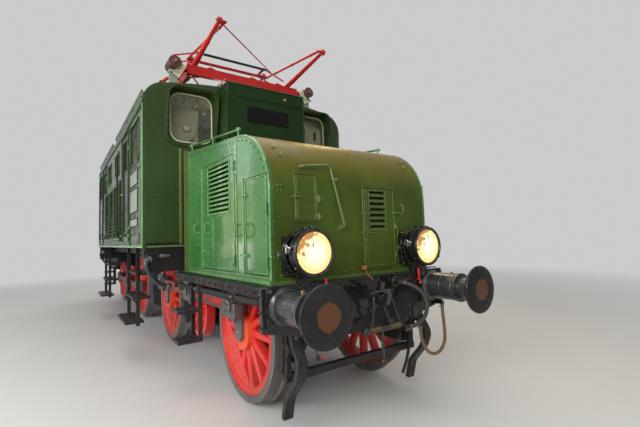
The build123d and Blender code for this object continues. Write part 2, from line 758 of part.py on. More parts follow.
# Coupling rods: fluted bars between block heads, with a bore for each crankpin
ROD_HEAD = 320
ROD_HEAD_HEIGHT = 244
BORE_R = PIN_R + GAP
ROD_HALF_HEIGHT = 56
FLUTE = 9
for side, shift, rise, name in ((-1, 0, CRANK_R, "right"), (1, -CRANK_R, 0, "left")):
    rod_plane = Plane.XZ.offset(-side * ROD_Y)
    bars = [(x + shift, AXLE_Z + rise) for x in (AXLES[0] - WHEELBASE / 4, AXLES[2] + WHEELBASE / 4)]
    heads = [(x + shift, AXLE_Z + rise) for x in AXLES]
    with BuildPart() as rods:
        with BuildSketch(rod_plane):
            with Locations(*bars):
                Rectangle(WHEELBASE / 2, 2 * ROD_HALF_HEIGHT)
        extrude(amount=ROD_THICK / 2, both=True)
        for face in (-1, 1):
            with BuildSketch(rod_plane.offset(face * (ROD_THICK / 2 - FLUTE))):
                with Locations(*bars):
                    SlotOverall(WHEELBASE / 2 - ROD_HEAD - 40, 2 * (ROD_HALF_HEIGHT - 22))
            extrude(amount=face * 2 * FLUTE, mode=Mode.SUBTRACT)
        with BuildSketch(rod_plane):
            with Locations(*heads):
                RectangleRounded(ROD_HEAD, ROD_HEAD_HEIGHT, 40)
        extrude(amount=ROD_HEAD_THICK / 2, both=True)
        with BuildSketch(rod_plane):
            with Locations(*heads):
                Circle(BORE_R)
        extrude(amount=ROD_HEAD_THICK, both=True, mode=Mode.SUBTRACT)
    save(rods.part, "coupling_rods_front_" + name)
    other = "left" if name == "right" else "right"
    save(turned(rods.part), "coupling_rods_rear_" + other)

# Underframe: floor, sills, a bolster over each pivot, end plates, and the box between the bogies
END_PLATE = 45
END_PLATE_FOOT = 1250
BOX_HALF_X = 380
BOX_HALF_Y = 760
BOX_FOOT = 360
with BuildPart() as underframe:
    with Locations((0, 0, BODY_Z)):
        Box(
            2 * BODY_HALF,
            2 * (BODY_HALF_WIDTH - WALL),
            FLOOR_TOP - BODY_Z,
            align=(Align.CENTER, Align.CENTER, Align.MIN),
        )
    for side in (-1, 1):
        with Locations((0, side * 1180, BODY_Z - 120)):
            Box(2 * BODY_HALF - 100, 60, 120 - SEAM, align=(Align.CENTER, Align.CENTER, Align.MIN))
    for x in (-PIVOT_X, PIVOT_X):
        with Locations((x, 0, DECK_TOP + 150 + GAP)):
            Cylinder(
                PIVOT_R,
                BODY_Z - DECK_TOP - 150 - GAP - SEAM,
                align=(Align.CENTER, Align.CENTER, Align.MIN),
            )
    for end in (-1, 1):
        for side in (-1, 1):
            with Locations((end * (BODY_HALF - END_PLATE / 2), side * 880, END_PLATE_FOOT)):
                height = BODY_Z - SEAM - END_PLATE_FOOT
                Box(END_PLATE, 1240, height, align=(Align.CENTER, Align.CENTER, Align.MIN))
    # ribbed box
    box_height = BODY_Z - SEAM - BOX_FOOT
    with Locations((0, 0, BOX_FOOT)):
        Box(2 * BOX_HALF_X, 2 * BOX_HALF_Y, box_height, align=(Align.CENTER, Align.CENTER, Align.MIN))
    with BuildSketch(Plane.XY.offset(BOX_FOOT + 60)):
        with GridLocations(2 * BOX_HALF_X / 7, 0, 6, 1):
            Rectangle(16, 2 * (BOX_HALF_Y + 26))
        with GridLocations(0, 2 * BOX_HALF_Y / 11, 1, 10):
            Rectangle(2 * (BOX_HALF_X + 26), 16)
    extrude(amount=box_height - 180)
save(underframe.part, "underframe")

# Side walls: doorways and windows as centre x, width, sill and head above the rail
DOOR_X = 1525
DOOR_HALF = 320
DOOR_FOOT = BODY_Z + 86
DOOR_HEAD = RAIL + 3180
SIDE_WINDOWS = (
    (-2370, 640, 2640, 3180),
    (-560, 520, 2760, 3120),
    (560, 520, 2760, 3120),
    (2370, 640, 2640, 3180),
)
# The doors hang on knuckles inside the cab. The plane is the right wall's inner face, looking in.
INNER_FACE = Plane(origin=(0, WALL - BODY_HALF_WIDTH, 0), x_dir=(-1, 0, 0), z_dir=(0, 1, 0))
DOOR_HINGES = (RAIL + 1900, RAIL + 2450, RAIL + 3000)
DOOR_AXIS_X = DOOR_X + DOOR_HALF + HINGE_GAP
fixed_hinges = hinge_side(INNER_FACE, -DOOR_AXIS_X, DOOR_HINGES, FIXED_KNUCKLES, -60)
leaf_hinges = hinge_side(INNER_FACE, -DOOR_AXIS_X, DOOR_HINGES, LEAF_KNUCKLE, 60)
with BuildPart() as side_walls:
    with BuildSketch(Plane.XZ.offset(BODY_HALF_WIDTH - WALL)):
        with Locations((0, (BODY_Z + EAVES_Z) / 2)):
            Rectangle(2 * BODY_HALF, EAVES_Z - BODY_Z)
        for x in (-DOOR_X, DOOR_X):
            with Locations((x, (DOOR_FOOT + DOOR_HEAD) / 2)):
                Rectangle(
                    2 * (DOOR_HALF + GAP),
                    DOOR_HEAD - DOOR_FOOT + 2 * GAP,
                    mode=Mode.SUBTRACT,
                )
        for x, width, sill, head in SIDE_WINDOWS:
            with Locations((x, RAIL + (sill + head) / 2)):
                RectangleRounded(width, head - sill, 50, mode=Mode.SUBTRACT)
    extrude(amount=WALL)
    add(fixed_hinges)
    add(fixed_hinges.mirror(Plane.YZ))
    mirror(about=Plane.XZ)
save(side_walls.part, "side_walls")

# Cab doors, hung on the cab side and opening inwards
with BuildPart() as door:
    with BuildSketch(Plane.XZ.offset(BODY_HALF_WIDTH - WALL)):
        with Locations((DOOR_X, (DOOR_FOOT + DOOR_HEAD) / 2)):
            Rectangle(2 * DOOR_HALF, DOOR_HEAD - DOOR_FOOT)
        with Locations((DOOR_X, RAIL + 2900)):
            RectangleRounded(400, 440, 40, mode=Mode.SUBTRACT)
    extrude(amount=WALL)
    add(leaf_hinges)
door_left = door.part.mirror(Plane.XZ)
save(door.part, "cab_door_front_right")
save(door_left, "cab_door_front_left")
save(turned(door_left), "cab_door_rear_right")
save(turned(door.part), "cab_door_rear_left")

# Roof: a crown with rounded shoulders
SHOULDER_Y = 1240
SHOULDER_Z = RAIL + 3612


def roof_outline(inset):
    edge = BODY_HALF_WIDTH - inset
    shoulder = SHOULDER_Y - inset * 0.2
    low = SHOULDER_Z - inset
    with BuildSketch() as outline:
        with BuildLine():
            Polyline((shoulder, low), (shoulder, EAVES_Z), (-shoulder, EAVES_Z), (-shoulder, low))
            ThreePointArc((shoulder, low), (0, ROOF_TOP - inset), (-shoulder, low))
        make_face()
        for side in (-1, 1):
            with BuildLine():
                ThreePointArc(
                    (side * edge, EAVES_Z),
                    (side * (edge - 75), EAVES_Z + 215 - inset * 0.7),
                    (side * shoulder, low),
                )
                Polyline((side * shoulder, low), (side * shoulder, EAVES_Z), (side * edge, EAVES_Z))
            make_face()
    return outline.sketch


with BuildPart() as roof:
    with BuildSketch(Plane.YZ):
        add(roof_outline(0))
        add(roof_outline(WALL), mode=Mode.SUBTRACT)
    extrude(amount=BODY_HALF, both=True)
save(roof.part, "roof")
# the roof's outer form, a joint line larger, that what stands on it is cut to
with BuildPart() as roof_skin:
    with BuildSketch(Plane.YZ):
        add(roof_outline(-SEAM))
    extrude(amount=BODY_HALF, both=True)

# End walls with round-headed windows under projecting hoods, and the duct box between them
WINDOW_Y = 925
WINDOW_WIDTH = 530
WINDOW_LOW = RAIL + 2870
WINDOW_HIGH = RAIL + 3500
DUCT_FRONT = 3306
DUCT_HALF = 580
DUCT_LOW = RAIL + 2800
DUCT_TOP = RAIL + 3636
VISOR = 170


def end_window(grow):
    with BuildSketch() as pane:
        with Locations((0, (WINDOW_LOW + WINDOW_HIGH) / 2)):
            RectangleRounded(WINDOW_WIDTH + 2 * grow, WINDOW_HIGH - WINDOW_LOW + 2 * grow, 130)
    return pane.sketch


with BuildPart() as visors:
    with BuildSketch(Plane.YZ.offset(BODY_HALF + SEAM)):
        with Locations((-WINDOW_Y, 0), (WINDOW_Y, 0)):
            add(end_window(60))
            add(end_window(42), mode=Mode.SUBTRACT)
    extrude(amount=VISOR)
    # the lower part is cut back to a slope
    with BuildSketch(Plane.XZ):
        with BuildLine():
            Polyline(
                (BODY_HALF + 12, WINDOW_LOW - 100),
                (BODY_HALF + VISOR, WINDOW_HIGH - 40),
                (BODY_HALF + VISOR + 60, WINDOW_HIGH - 40),
                (BODY_HALF + VISOR + 60, WINDOW_LOW - 100),
                close=True,
            )
        make_face()
    extrude(amount=BODY_HALF_WIDTH, both=True, mode=Mode.SUBTRACT)

with BuildPart() as end_wall:
    with BuildSketch(Plane.YZ.offset(BODY_HALF - WALL)):
        add(roof_outline(WALL))
        with Locations((0, (FLOOR_TOP + EAVES_Z) / 2)):
            Rectangle(2 * (BODY_HALF_WIDTH - WALL), EAVES_Z - FLOOR_TOP)
        with Locations((-WINDOW_Y, 0), (WINDOW_Y, 0)):
            add(end_window(0), mode=Mode.SUBTRACT)
    extrude(amount=WALL)
    add(visors.part)
    with Locations(((BODY_HALF + SEAM + DUCT_FRONT) / 2, 0, (DUCT_LOW + DUCT_TOP) / 2)):
        Box(DUCT_FRONT - BODY_HALF - SEAM, 2 * DUCT_HALF, DUCT_TOP - DUCT_LOW)
save(end_wall.part, "end_wall_front")
save(turned(end_wall.part), "end_wall_rear")

# Window glass, set in the middle of each wall
PANE = 6
with BuildPart() as glass:
    for x in (-1, 1):
        with BuildSketch(Plane.YZ.offset(x * (BODY_HALF - WALL / 2) - PANE / 2)):
            with Locations((-WINDOW_Y, 0), (WINDOW_Y, 0)):
                add(end_window(0))
        extrude(amount=PANE)
    for side in (-1, 1):
        with BuildSketch(Plane.XZ.offset(side * (BODY_HALF_WIDTH - WALL / 2) - PANE / 2)):
            for x, width, sill, head in SIDE_WINDOWS:
                with Locations((x, RAIL + (sill + head) / 2)):
                    RectangleRounded(width, head - sill, 50)
        extrude(amount=PANE)
save(glass.part, "window_glass")

# Partitions between the cabs and the machine room, and the transformer between them
CAB_DEPTH_X = 1120
DESK_X = 2640
# driver's desk under the right end window, and a resistor cabinet on the partition behind it
DESK = (420, 760, 1180)
CABINET = (260, 520, 700)
with BuildPart() as furniture:
    with Locations((DESK_X, -WINDOW_Y, FLOOR_TOP + SEAM)):
        Box(*DESK, align=(Align.CENTER, Align.CENTER, Align.MIN))
    with Locations((CAB_DEPTH_X + WALL / 2 + SEAM, -200, FLOOR_TOP + 900)):
        Box(*CABINET, align=(Align.MIN, Align.CENTER, Align.MIN))
with BuildPart() as partitions:
    for x in (-CAB_DEPTH_X, CAB_DEPTH_X):
        with BuildSketch(Plane.YZ.offset(x - WALL / 2)):
            with Locations((0, (FLOOR_TOP + EAVES_Z) / 2)):
                Rectangle(2 * (BODY_HALF_WIDTH - WALL), EAVES_Z - FLOOR_TOP)
        extrude(amount=WALL)
    add(furniture.part)
    add(turned(furniture.part))
save(partitions.part, "partitions")

with BuildPart() as transformer:
    with Locations((0, 0, FLOOR_TOP)):
        Box(1700, 1900, 1250, align=(Align.CENTER, Align.CENTER, Align.MIN))
save(transformer.part, "transformer")

# Louvred air panels on both sides of the machine room, with three fields of blades in each
PANEL_THICK = 35
PANEL_Z = RAIL + 2110
PANEL_FACE = Plane(origin=(0, -BODY_HALF_WIDTH - PANEL_THICK, PANEL_Z), x_dir=(1, 0, 0), z_dir=(0, -1, 0))
PANEL_FIELDS = (-720, 0, 720)
PANEL_BLADES = 14
with BuildPart() as louvres:
    with BuildSketch(PANEL_FACE.offset(-PANEL_THICK)):
        Rectangle(2200, 980)
        with Locations(*[(x, 0) for x in PANEL_FIELDS]):
            Rectangle(620, 860, mode=Mode.SUBTRACT)
    extrude(amount=PANEL_THICK)
    for x in PANEL_FIELDS:
        add(blades(PANEL_FACE, x - 312, x + 312, -430, 430, PANEL_BLADES, -2))
    mirror(about=Plane.XZ)
save(louvres.part, "side_louvres")

# Ladders under the doors with handrails beside them
LADDER_Y = 1440
LADDER_POSTS = (1320, 2120)
# treads: top, inner and outer edge from the middle
TREADS = ((1190, 1250, 1450), (860, 1280, 1500), (540, 1360, 1600))
RAIL_OUT = 70
RAIL_FOOT = RAIL + 1680
RAIL_HEAD = RAIL + 2980
with BuildPart() as ladders:
    for end in (-1, 1):
        for side in (-1, 1):
            for x in LADDER_POSTS:
                with Locations((end * x, side * LADDER_Y, TREADS[-1][0] - 60)):
                    height = BODY_Z - SEAM - TREADS[-1][0] + 60
                    Box(14, 50, height, align=(Align.CENTER, Align.CENTER, Align.MIN))
            middle = sum(LADDER_POSTS) / 2
            width = LADDER_POSTS[1] - LADDER_POSTS[0] - 14 - 2 * SEAM
            for top, inner, outer in TREADS:
                with Locations((end * middle, side * (inner + outer) / 2, top)):
                    Box(width, outer - inner, 24, align=(Align.CENTER, Align.CENTER, Align.MAX))
            for x in (1160, 1900):
                with Locations((end * x, side * (BODY_HALF_WIDTH + RAIL_OUT), RAIL_FOOT)):
                    Cylinder(14, RAIL_HEAD - RAIL_FOOT, align=(Align.CENTER, Align.CENTER, Align.MIN))
                for z in (RAIL_FOOT + 20, RAIL_HEAD - 20):
                    stub = RAIL_OUT - 14 - 2 * SEAM
                    with Locations((end * x, side * (BODY_HALF_WIDTH + SEAM + stub / 2), z)):
                        Cylinder(10, stub, rotation=(90, 0, 0))
save(ladders.part, "ladders_and_handrails")

# Pantograph base frames and their ribbed insulators
BASE_HALF_X = 660
BASE_BAR_Z = RAIL + 3992
INSULATOR_Y = 1075
INSULATOR_Z = RAIL + 4010
DRUM_HALF = 120
BEARING = 22
DRUM_RIBS = 4
with BuildPart() as bases:
    for centre in (-PAN_X, PAN_X):
        for x in (-BASE_HALF_X, BASE_HALF_X):
            with Locations((centre + x, 0, BASE_BAR_Z)):
                Box(60, 2 * 890, 136)
        for side in (-1, 1):
            with Locations((centre, side * 860, RAIL + 3950)):
                Box(2 * (BASE_HALF_X - 30 - SEAM), 50, 100)
            for x in (-PAN_SHAFT, PAN_SHAFT):
                with Locations((centre + x, side * (835 - SEAM - BEARING / 2), PAN_Z - 52)):
                    Box(110, BEARING, 272)
save(bases.part, "pantograph_bases")

with BuildPart() as drum:
    with BuildSketch(Plane.XY):
        with BuildLine():
            Polyline((0, -DRUM_HALF), (0, DRUM_HALF), (62, DRUM_HALF), (62, -DRUM_HALF), close=True)
        make_face()
        with GridLocations(0, 2 * (DRUM_HALF - 16) / (DRUM_RIBS - 1), 1, DRUM_RIBS):
            Rectangle(86, 26, align=(Align.MIN, Align.CENTER))
    revolve(axis=Axis.Y)
with BuildPart() as insulators:
    for centre in (-PAN_X, PAN_X):
        for x in (-BASE_HALF_X, BASE_HALF_X):
            for side in (-1, 1):
                at = (centre + x, side * INSULATOR_Y, INSULATOR_Z)
                add(drum.part.rotate(Axis.Z, 90).translate(at))
                # arm from the base frame, and the foot on the roof
                with Locations((centre + x, side * (890 + SEAM), INSULATOR_Z - 20)):
                    inward = Align.MIN if side > 0 else Align.MAX
                    Box(50, 110, 70, align=(Align.CENTER, inward, Align.CENTER))
                foot_top = INSULATOR_Z - 86 - SEAM
                with Locations((centre + x, side * INSULATOR_Y, foot_top)):
                    Box(110, 130, 24, align=(Align.CENTER, Align.CENTER, Align.MAX))
                with Locations((centre + x, side * INSULATOR_Y, RAIL + 3600)):
                    height = foot_top - 24 - RAIL - 3600
                    Box(34, 110, height, align=(Align.CENTER, Align.CENTER, Align.MIN))
    add(roof_skin.part, mode=Mode.SUBTRACT)
save(insulators.part, "roof_insulators")

# Pantograph frames: knees at the outer ends, the apex over the middle
ANGLE = radians(PAN_REST)
KNEE_X = PAN_SHAFT + PAN_LOWER * cos(ANGLE)
KNEE_Z = PAN_Z + PAN_LOWER * sin(ANGLE)
APEX_Z = KNEE_Z + (PAN_UPPER**2 - KNEE_X**2) ** 0.5
UPPER_Y = PAN_HALF - 70
REAR_APEX_Y = UPPER_Y - 60


for way, name in ((1, "outer"), (-1, "inner")):
    with BuildPart() as lower:
        add(cross_tube(PAN_X + way * PAN_SHAFT, PAN_Z, 800, 30))
        for side in (-1, 1):
            start = (PAN_X + way * PAN_SHAFT, side * PAN_HALF, PAN_Z)
            end = (PAN_X + way * (KNEE_X - 10), side * PAN_HALF, KNEE_Z)
            add(tube(start, end, 42, 24))
            with Locations((PAN_X + way * KNEE_X, side * PAN_HALF, KNEE_Z)):
                Cylinder(40, 44, rotation=(90, 0, 0))
                Cylinder(16.5, 60, rotation=(90, 0, 0), mode=Mode.SUBTRACT)
    save(lower.part, "pantograph_front_lower_" + name)
    save(turned(lower.part), "pantograph_rear_lower_" + name)
    apex_y = UPPER_Y if way > 0 else REAR_APEX_Y
    with BuildPart() as upper:
        for side in (-1, 1):
            knee = (PAN_X + way * KNEE_X, side * UPPER_Y, KNEE_Z)
            apex = (PAN_X + way * (0 if way > 0 else 50), side * apex_y, APEX_Z)
            add(tube(knee, apex, 19, 17))
            with Locations((PAN_X + way * KNEE_X, side * (UPPER_Y + 44), KNEE_Z)):
                Cylinder(16, 120, rotation=(90, 0, 0))
        if way > 0:
            add(cross_tube(PAN_X, APEX_Z, UPPER_Y + 15, 20))
        else:
            rise = (APEX_Z - KNEE_Z) / KNEE_X
            add(cross_tube(PAN_X - 260, APEX_Z - 260 * rise, UPPER_Y - 40, 15))
            for side in (-1, 1):
                with Locations((PAN_X, side * REAR_APEX_Y, APEX_Z)):
                    Cylinder(60, 24, rotation=(90, 0, 0))
                    Cylinder(44, 30, rotation=(90, 0, 0), mode=Mode.SUBTRACT)
    save(upper.part, "pantograph_front_upper_" + name)
    save(turned(upper.part), "pantograph_rear_upper_" + name)

# Collector head: two contact strips with down-turned horns on short posts
STRIP_Z = APEX_Z + 62
with BuildPart() as head:
    for x in (-150, 150):
        with Locations((PAN_X + x, 0, STRIP_Z)):
            Box(40, 1200, 24)
        for side in (-1, 1):
            horn_root = (PAN_X + x, side * 590, STRIP_Z)
            horn_tip = (PAN_X + x, side * 950, STRIP_Z - 130)
            add(tube(horn_root, horn_tip, 12, 12))
    for side in (-1, 1):
        with Locations((PAN_X, side * 560, STRIP_Z)):
            Box(340, 30, 24)
        with Locations((PAN_X, side * 560, APEX_Z)):
            Cylinder(38, 30, rotation=(90, 0, 0))
            Box(30, 30, STRIP_Z - APEX_Z, align=(Align.CENTER, Align.CENTER, Align.MIN))
            Cylinder(20.5, 40, rotation=(90, 0, 0), mode=Mode.SUBTRACT)
save(head.part, "pantograph_front_head")
save(turned(head.part), "pantograph_rear_head")

# Brake hoses on the front beam: name, radius and corner points
HOSES = (
    (
        "brake_hose_right",
        19,
        (
            COCK_END,
            COCK_END + COCK_RUN,
            (5378, 566, 1040),
            (5400, 590, 925),
            (5402, 548, 822),
            (5400, 440, 758),
            HOSE_HEAD,
        ),
    ),
    (
        "brake_hose_left",
        16,
        (
            GLAND,
            (5262, 985, 780),
            (5285, 968, 690),
            (5300, 955, 600),
            (5304, 950, 510),
            (5304, 891, 428),
            (5304, 795, 397),
            (5296, 699, 428),
            (5280, 640, 510),
            (5262, 630, 610),
            DUMMY,
        ),
    ),
)


# Each bend is as large as its shorter run allows
def bend_radii(points):
    ways = [Vector(b) - Vector(a) for a, b in zip(points, points[1:])]
    radii = []
    for before, after in zip(ways, ways[1:]):
        half_turn = radians(before.get_angle(after)) / 2
        radii.append(0.45 * min(before.length, after.length) / tan(half_turn))
    return radii


for name, radius, points in HOSES:
    radii = bend_radii(points)
    print(name, "bend radii", [round(r) for r in radii])
    with BuildPart() as hose:
        with BuildLine() as route:
            FilletPolyline(*points, radius=radii)
        with BuildSketch(Plane(route.line @ 0, z_dir=route.line % 0)):
            Circle(radius)
        sweep(path=route.line)
    length = route.wires()[0].length
    section = pi * radius**2
    print(name, "length", round(length), "volume ratio", round(hose.part.volume / (section * length), 4))
    save(hose.part, name)
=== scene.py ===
import math

import bmesh
import bpy
from mathutils import Matrix, Vector


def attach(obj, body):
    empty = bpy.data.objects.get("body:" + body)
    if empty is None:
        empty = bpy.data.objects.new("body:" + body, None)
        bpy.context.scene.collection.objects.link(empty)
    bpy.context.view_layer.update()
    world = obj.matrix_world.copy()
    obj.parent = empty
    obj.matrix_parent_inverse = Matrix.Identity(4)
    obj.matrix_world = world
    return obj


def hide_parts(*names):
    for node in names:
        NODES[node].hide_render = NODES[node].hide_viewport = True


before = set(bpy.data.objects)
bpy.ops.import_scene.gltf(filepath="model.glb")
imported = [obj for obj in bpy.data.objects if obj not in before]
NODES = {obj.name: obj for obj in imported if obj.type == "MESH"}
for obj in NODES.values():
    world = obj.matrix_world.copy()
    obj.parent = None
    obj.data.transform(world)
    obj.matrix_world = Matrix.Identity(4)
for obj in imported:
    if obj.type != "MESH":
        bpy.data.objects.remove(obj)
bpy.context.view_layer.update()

# Sizes and places in metres, in the frame of the CAD model
RAIL = 0.028
HOOD_FRONT, HOOD_REAR = 5.12, 3.03
HOOD_HALF_FRONT, HOOD_HALF_REAR = 0.94, 1.01
HOOD_Z = RAIL + 1.2
HOOD_TOP_FRONT, HOOD_TOP_REAR = RAIL + 2.5, RAIL + 2.71
CURVE_X, CURVE_Z, CURVE_R = 4.52, 1.985, 0.6
PLATE_LIP = 0.008
BEAM_FACE = 5.2
BODY_HALF, BODY_HALF_WIDTH = 2.925, 1.52
EAVES_Z, ROOF_TOP = RAIL + 3.3, RAIL + 3.72
AXLES, AXLE_Z = (1.25, 4.25), RAIL + 0.675
PIVOT_X = 2.75
CRANK_R, ROD_Y = 0.265, 0.93
BUFFER_Y, BUFFER_Z = 0.875, RAIL + 1.05
LAMP_Y, LAMP_Z = 0.68, RAIL + 1.46
DUCT_FRONT, DUCT_HALF, DUCT_LOW, DUCT_TOP = 3.306, 0.58, RAIL + 2.8, RAIL + 3.636
PAN_CENTRE, BASE_BAR, SHAFT_Z, KNEE_REACH, KNEE_Z = 1.95, RAIL + 3.992, 4.128, 1.625, 4.277

AHEAD, LEFT, UP = Vector((1, 0, 0)), Vector((0, 1, 0)), Vector((0, 0, 1))
RIGHT = -LEFT
HALF_TURN = Matrix.Rotation(math.pi, 4, "Z")
# The two ends are the same part turned round, and the two sides of an end mirror each other
ENDS = (("front", Matrix.Identity(4)), ("rear", HALF_TURN))
CORNERS = (
    ("front", "right", Matrix.Identity(4)), ("front", "left", Matrix.Scale(-1, 4, LEFT)),
    ("rear", "right", Matrix.Scale(-1, 4, AHEAD)), ("rear", "left", HALF_TURN),
)

# The photograph's camera: place, heading, tilt and roll in degrees, focal length in pixels
CAMERA_AT = (7.828, -2.338, 1.604)
CAMERA_TURNS = (145.087, 3.694, -1.822)
CAMERA_FOCUS, PHOTO_WIDTH = 374.7, 640

# Colours, linear
BACKGROUND = (0.6, 0.6, 0.6, 1.0)
# Gold for the curve of the hood's front sheet: a painted warm reflection
# Green of the hood's front and top: the hood green painted darker and warmer, as painted shade and warm light
FRONT_SHADED_GREEN, CURVE_WARM_REFLECTION = (0.056, 0.092, 0.012), (0.16, 0.104, 0.006)
STEEL, RUST = (0.24, 0.235, 0.225), (0.13, 0.05, 0.022)
OCHRE, CREAM = (0.3, 0.12, 0.035), (0.52, 0.5, 0.33)
DUST = (0.15, 0.135, 0.11)
RUST_DISC = (BUFFER_Y, BUFFER_Z, 0.098, (0.14, 0.06, 0.028))


# Shader helpers
class Nodes:
    """A node tree being built: each helper adds a node and gives its output"""

    def __init__(self, owner):
        owner.use_nodes = True
        self.owner, self.tree = owner, owner.node_tree

    def feed(self, socket, value):
        if isinstance(value, bpy.types.NodeSocket):
            self.tree.links.new(value, socket)
        else:
            colour = isinstance(value, tuple) and len(value) == 3 and socket.type == "RGBA"
            socket.default_value = (*value, 1.0) if colour else value

    def add(self, kind, inputs=(), output=0, **settings):
        node = self.tree.nodes.new("ShaderNode" + kind)
        for key, value in settings.items():
            setattr(node, key, value)
        for key, value in dict(inputs).items():
            self.feed(node.inputs[key], value)
        return node.outputs[output]

    def calc(self, operation, first, second=0.0):
        return self.add("Math", {0: first, 1: second}, operation=operation)

    def times(self, first, second):
        return self.calc("MULTIPLY", first, second)

    def mix(self, factor, first, second):
        return self.add("Mix", {0: factor, 6: first, 7: second}, 2, data_type="RGBA")

    def ramp(self, source, low, high, to_low=0.0, to_high=1.0):
        return self.add("MapRange", {"Value": source, "From Min": low, "From Max": high, "To Min": to_low,
                                     "To Max": to_high}, "Result")


class Material(Nodes):
    """A material over the object's own coordinates"""

    def __init__(self, name):
        super().__init__(bpy.data.materials.new(name))
        self.place = self.add("TexCoord", output="Object")
        self.x, self.y, self.z = (self.add("SeparateXYZ", {0: self.place}, axis) for axis in "XYZ")

    def noise(self, scale, detail, stretch=None):
        place = self.place
        if stretch:
            place = self.add("Mapping", {"Vector": place, "Scale": stretch}, "Vector")
        return self.add("TexNoise", {"Vector": place, "Scale": scale, "Detail": detail}, "Fac")

    def bump(self, height, strength, distance, **more):
        return self.add("Bump", {"Height": height, "Strength": strength, "Distance": distance, **more})

    def off_axis(self, y, z):
        """Distance from a line along X at (+-y, z)"""
        dy, dz = self.calc("SUBTRACT", self.calc("ABSOLUTE", self.y), y), self.calc("SUBTRACT", self.z, z)
        return self.calc("SQRT", self.calc("ADD", self.times(dy, dy), self.times(dz, dz)))

    def finish(self, sockets):
        for key, value in sockets.items():
            self.feed(self.tree.nodes["Principled BSDF"].inputs[key], value)
        return self.owner


def metal(name, colour, rough, metallic, coat, cloud, grime, grime_top=1.6, wave=0.0, grain=(0.05, 60.0),
          wear=None, speck=None, spot=None, top=None, shine=0.2):
    """Painted or bare metal: cloudy colour, streaks, grime low down, worn edges, dents and a fine grain, and
    with top a painted warm reflection over the bent front sheet
    """
    mat = Material(name)
    darker, lighter = (tuple(min(1.0, part * (1 + change)) for part in colour) for change in (-cloud, cloud))
    tone = mat.mix(mat.ramp(mat.noise(1.7, 5.0), 0.35, 0.65), darker, lighter)
    streaks = mat.ramp(mat.noise(5.0, 4.0, (3.0, 3.0, 0.25)), 0.35, 0.75, 0.25, 1.0)
    low_down = mat.ramp(mat.z, grime_top, 0.2)
    tone = mat.mix(mat.times(mat.times(streaks, low_down), grime), tone, DUST)
    if speck:
        tint, amount = speck
        tone = mat.mix(mat.ramp(mat.noise(34.0, 6.0), 0.62, 0.7, 0.0, amount), tone, tint)
    if spot:
        y, z, radius, tint = spot
        ragged = mat.calc("ADD", mat.off_axis(y, z), mat.ramp(mat.noise(26.0, 4.0), 0.0, 1.0, -0.02, 0.02))
        tone = mat.mix(mat.ramp(ragged, radius + 0.004, radius - 0.004, 0.0, 0.9), tone, tint)
    # top: a band of painted warm reflection across the curve of the hood's front sheet, forward and high up
    if top:
        forward = mat.ramp(mat.calc("ABSOLUTE", mat.x), 4.15, 4.9)
        tone = mat.mix(mat.times(mat.ramp(mat.z, 2.08, 2.55), forward), tone, top)
    if wear:
        tint, amount = wear
        rounded_off = mat.add("Bevel", {"Radius": 0.008}, samples=4)
        flat = mat.add("NewGeometry", output="Normal")
        turned = mat.add("VectorMath", {0: rounded_off, 1: flat}, "Value", operation="DOT_PRODUCT")
        patchy = mat.ramp(mat.noise(22.0, 4.0), 0.45, 0.62, 0.0, amount)
        tone = mat.mix(mat.times(mat.ramp(turned, 0.985, 0.8), patchy), tone, tint)
    normal = mat.add("Bevel", {"Radius": 0.003}, samples=4)
    dents = {}
    if wave:
        normal = mat.bump(mat.noise(2.6, 2.0), wave, 0.012, Normal=normal)
        dents = {"Coat Normal": normal}
    return mat.finish({
        "Base Color": tone, "Metallic": metallic, "Coat Weight": coat, "Coat Roughness": 0.06, **dents,
        "Specular IOR Level": 0.5 if metallic > 0.3 else shine,
        "Roughness": mat.ramp(mat.noise(9.0, 5.0), 0.3, 0.7, max(0.02, rough - 0.08), rough + 0.1),
        "Normal": mat.bump(mat.noise(grain[1], 4.0), grain[0], 0.002, Normal=normal),
    })


def lamp_glass(name, strength):
    """Fluted glass, white in the middle and yellow at the rim, with a rusty stain at the upper left"""
    mat = Material(name)
    away = mat.off_axis(LAMP_Y, LAMP_Z)
    tone = mat.mix(mat.ramp(away, 0.05, 0.165), (1.0, 0.95, 0.72), (1.0, 0.76, 0.24))
    ring = mat.ramp(mat.calc("ABSOLUTE", mat.calc("SUBTRACT", away, 0.14)), 0.004, 0.0015, 0.0, 0.55)
    tone = mat.mix(ring, tone, (0.55, 0.3, 0.06))
    ragged = mat.calc("ADD", mat.z, mat.ramp(mat.noise(21.0, 5.0), 0.3, 0.7, -0.09, 0.09))
    off_middle = mat.calc("SUBTRACT", mat.y, mat.times(mat.calc("SIGN", mat.y), LAMP_Y))
    ragged = mat.calc("SUBTRACT", ragged, mat.times(off_middle, 0.8))
    tone = mat.mix(mat.ramp(ragged, LAMP_Z + 0.105, LAMP_Z + 0.14, 0.0, 0.95), tone, (0.42, 0.15, 0.02))
    flutes = mat.add("TexWave", {"Vector": mat.place, "Scale": 18.0}, "Fac", bands_direction="Y")
    return mat.finish({
        "Base Color": mat.mix(0.75, tone, (0.1, 0.09, 0.06)), "Emission Color": tone,
        "Emission Strength": strength, "Roughness": 0.12, "Normal": mat.bump(flutes, 0.3, 0.003),
    })


def window_glass(name):
    mat = Material(name)
    smear = mat.ramp(mat.noise(5.0, 5.0), 0.45, 0.75, 0.05, 0.14)
    return mat.finish({"Alpha": smear, "Base Color": (0.42, 0.48, 0.42), "Roughness": 0.04})


def hose(name, colour, weave):
    """Rubber or cloth-covered hose with a woven grain"""
    mat = Material(name)
    worn = mat.ramp(mat.noise(30.0, 5.0), 0.4, 0.7)
    threads = mat.add("TexVoronoi", {"Vector": mat.place, "Scale": weave}, "Distance")
    return mat.finish({
        "Base Color": mat.mix(worn, colour, tuple(part * 1.7 for part in colour)),
        "Roughness": mat.ramp(worn, 0.0, 1.0, 0.55, 0.85), "Specular IOR Level": 0.25,
        "Normal": mat.bump(threads, 0.6, 0.002),
    })


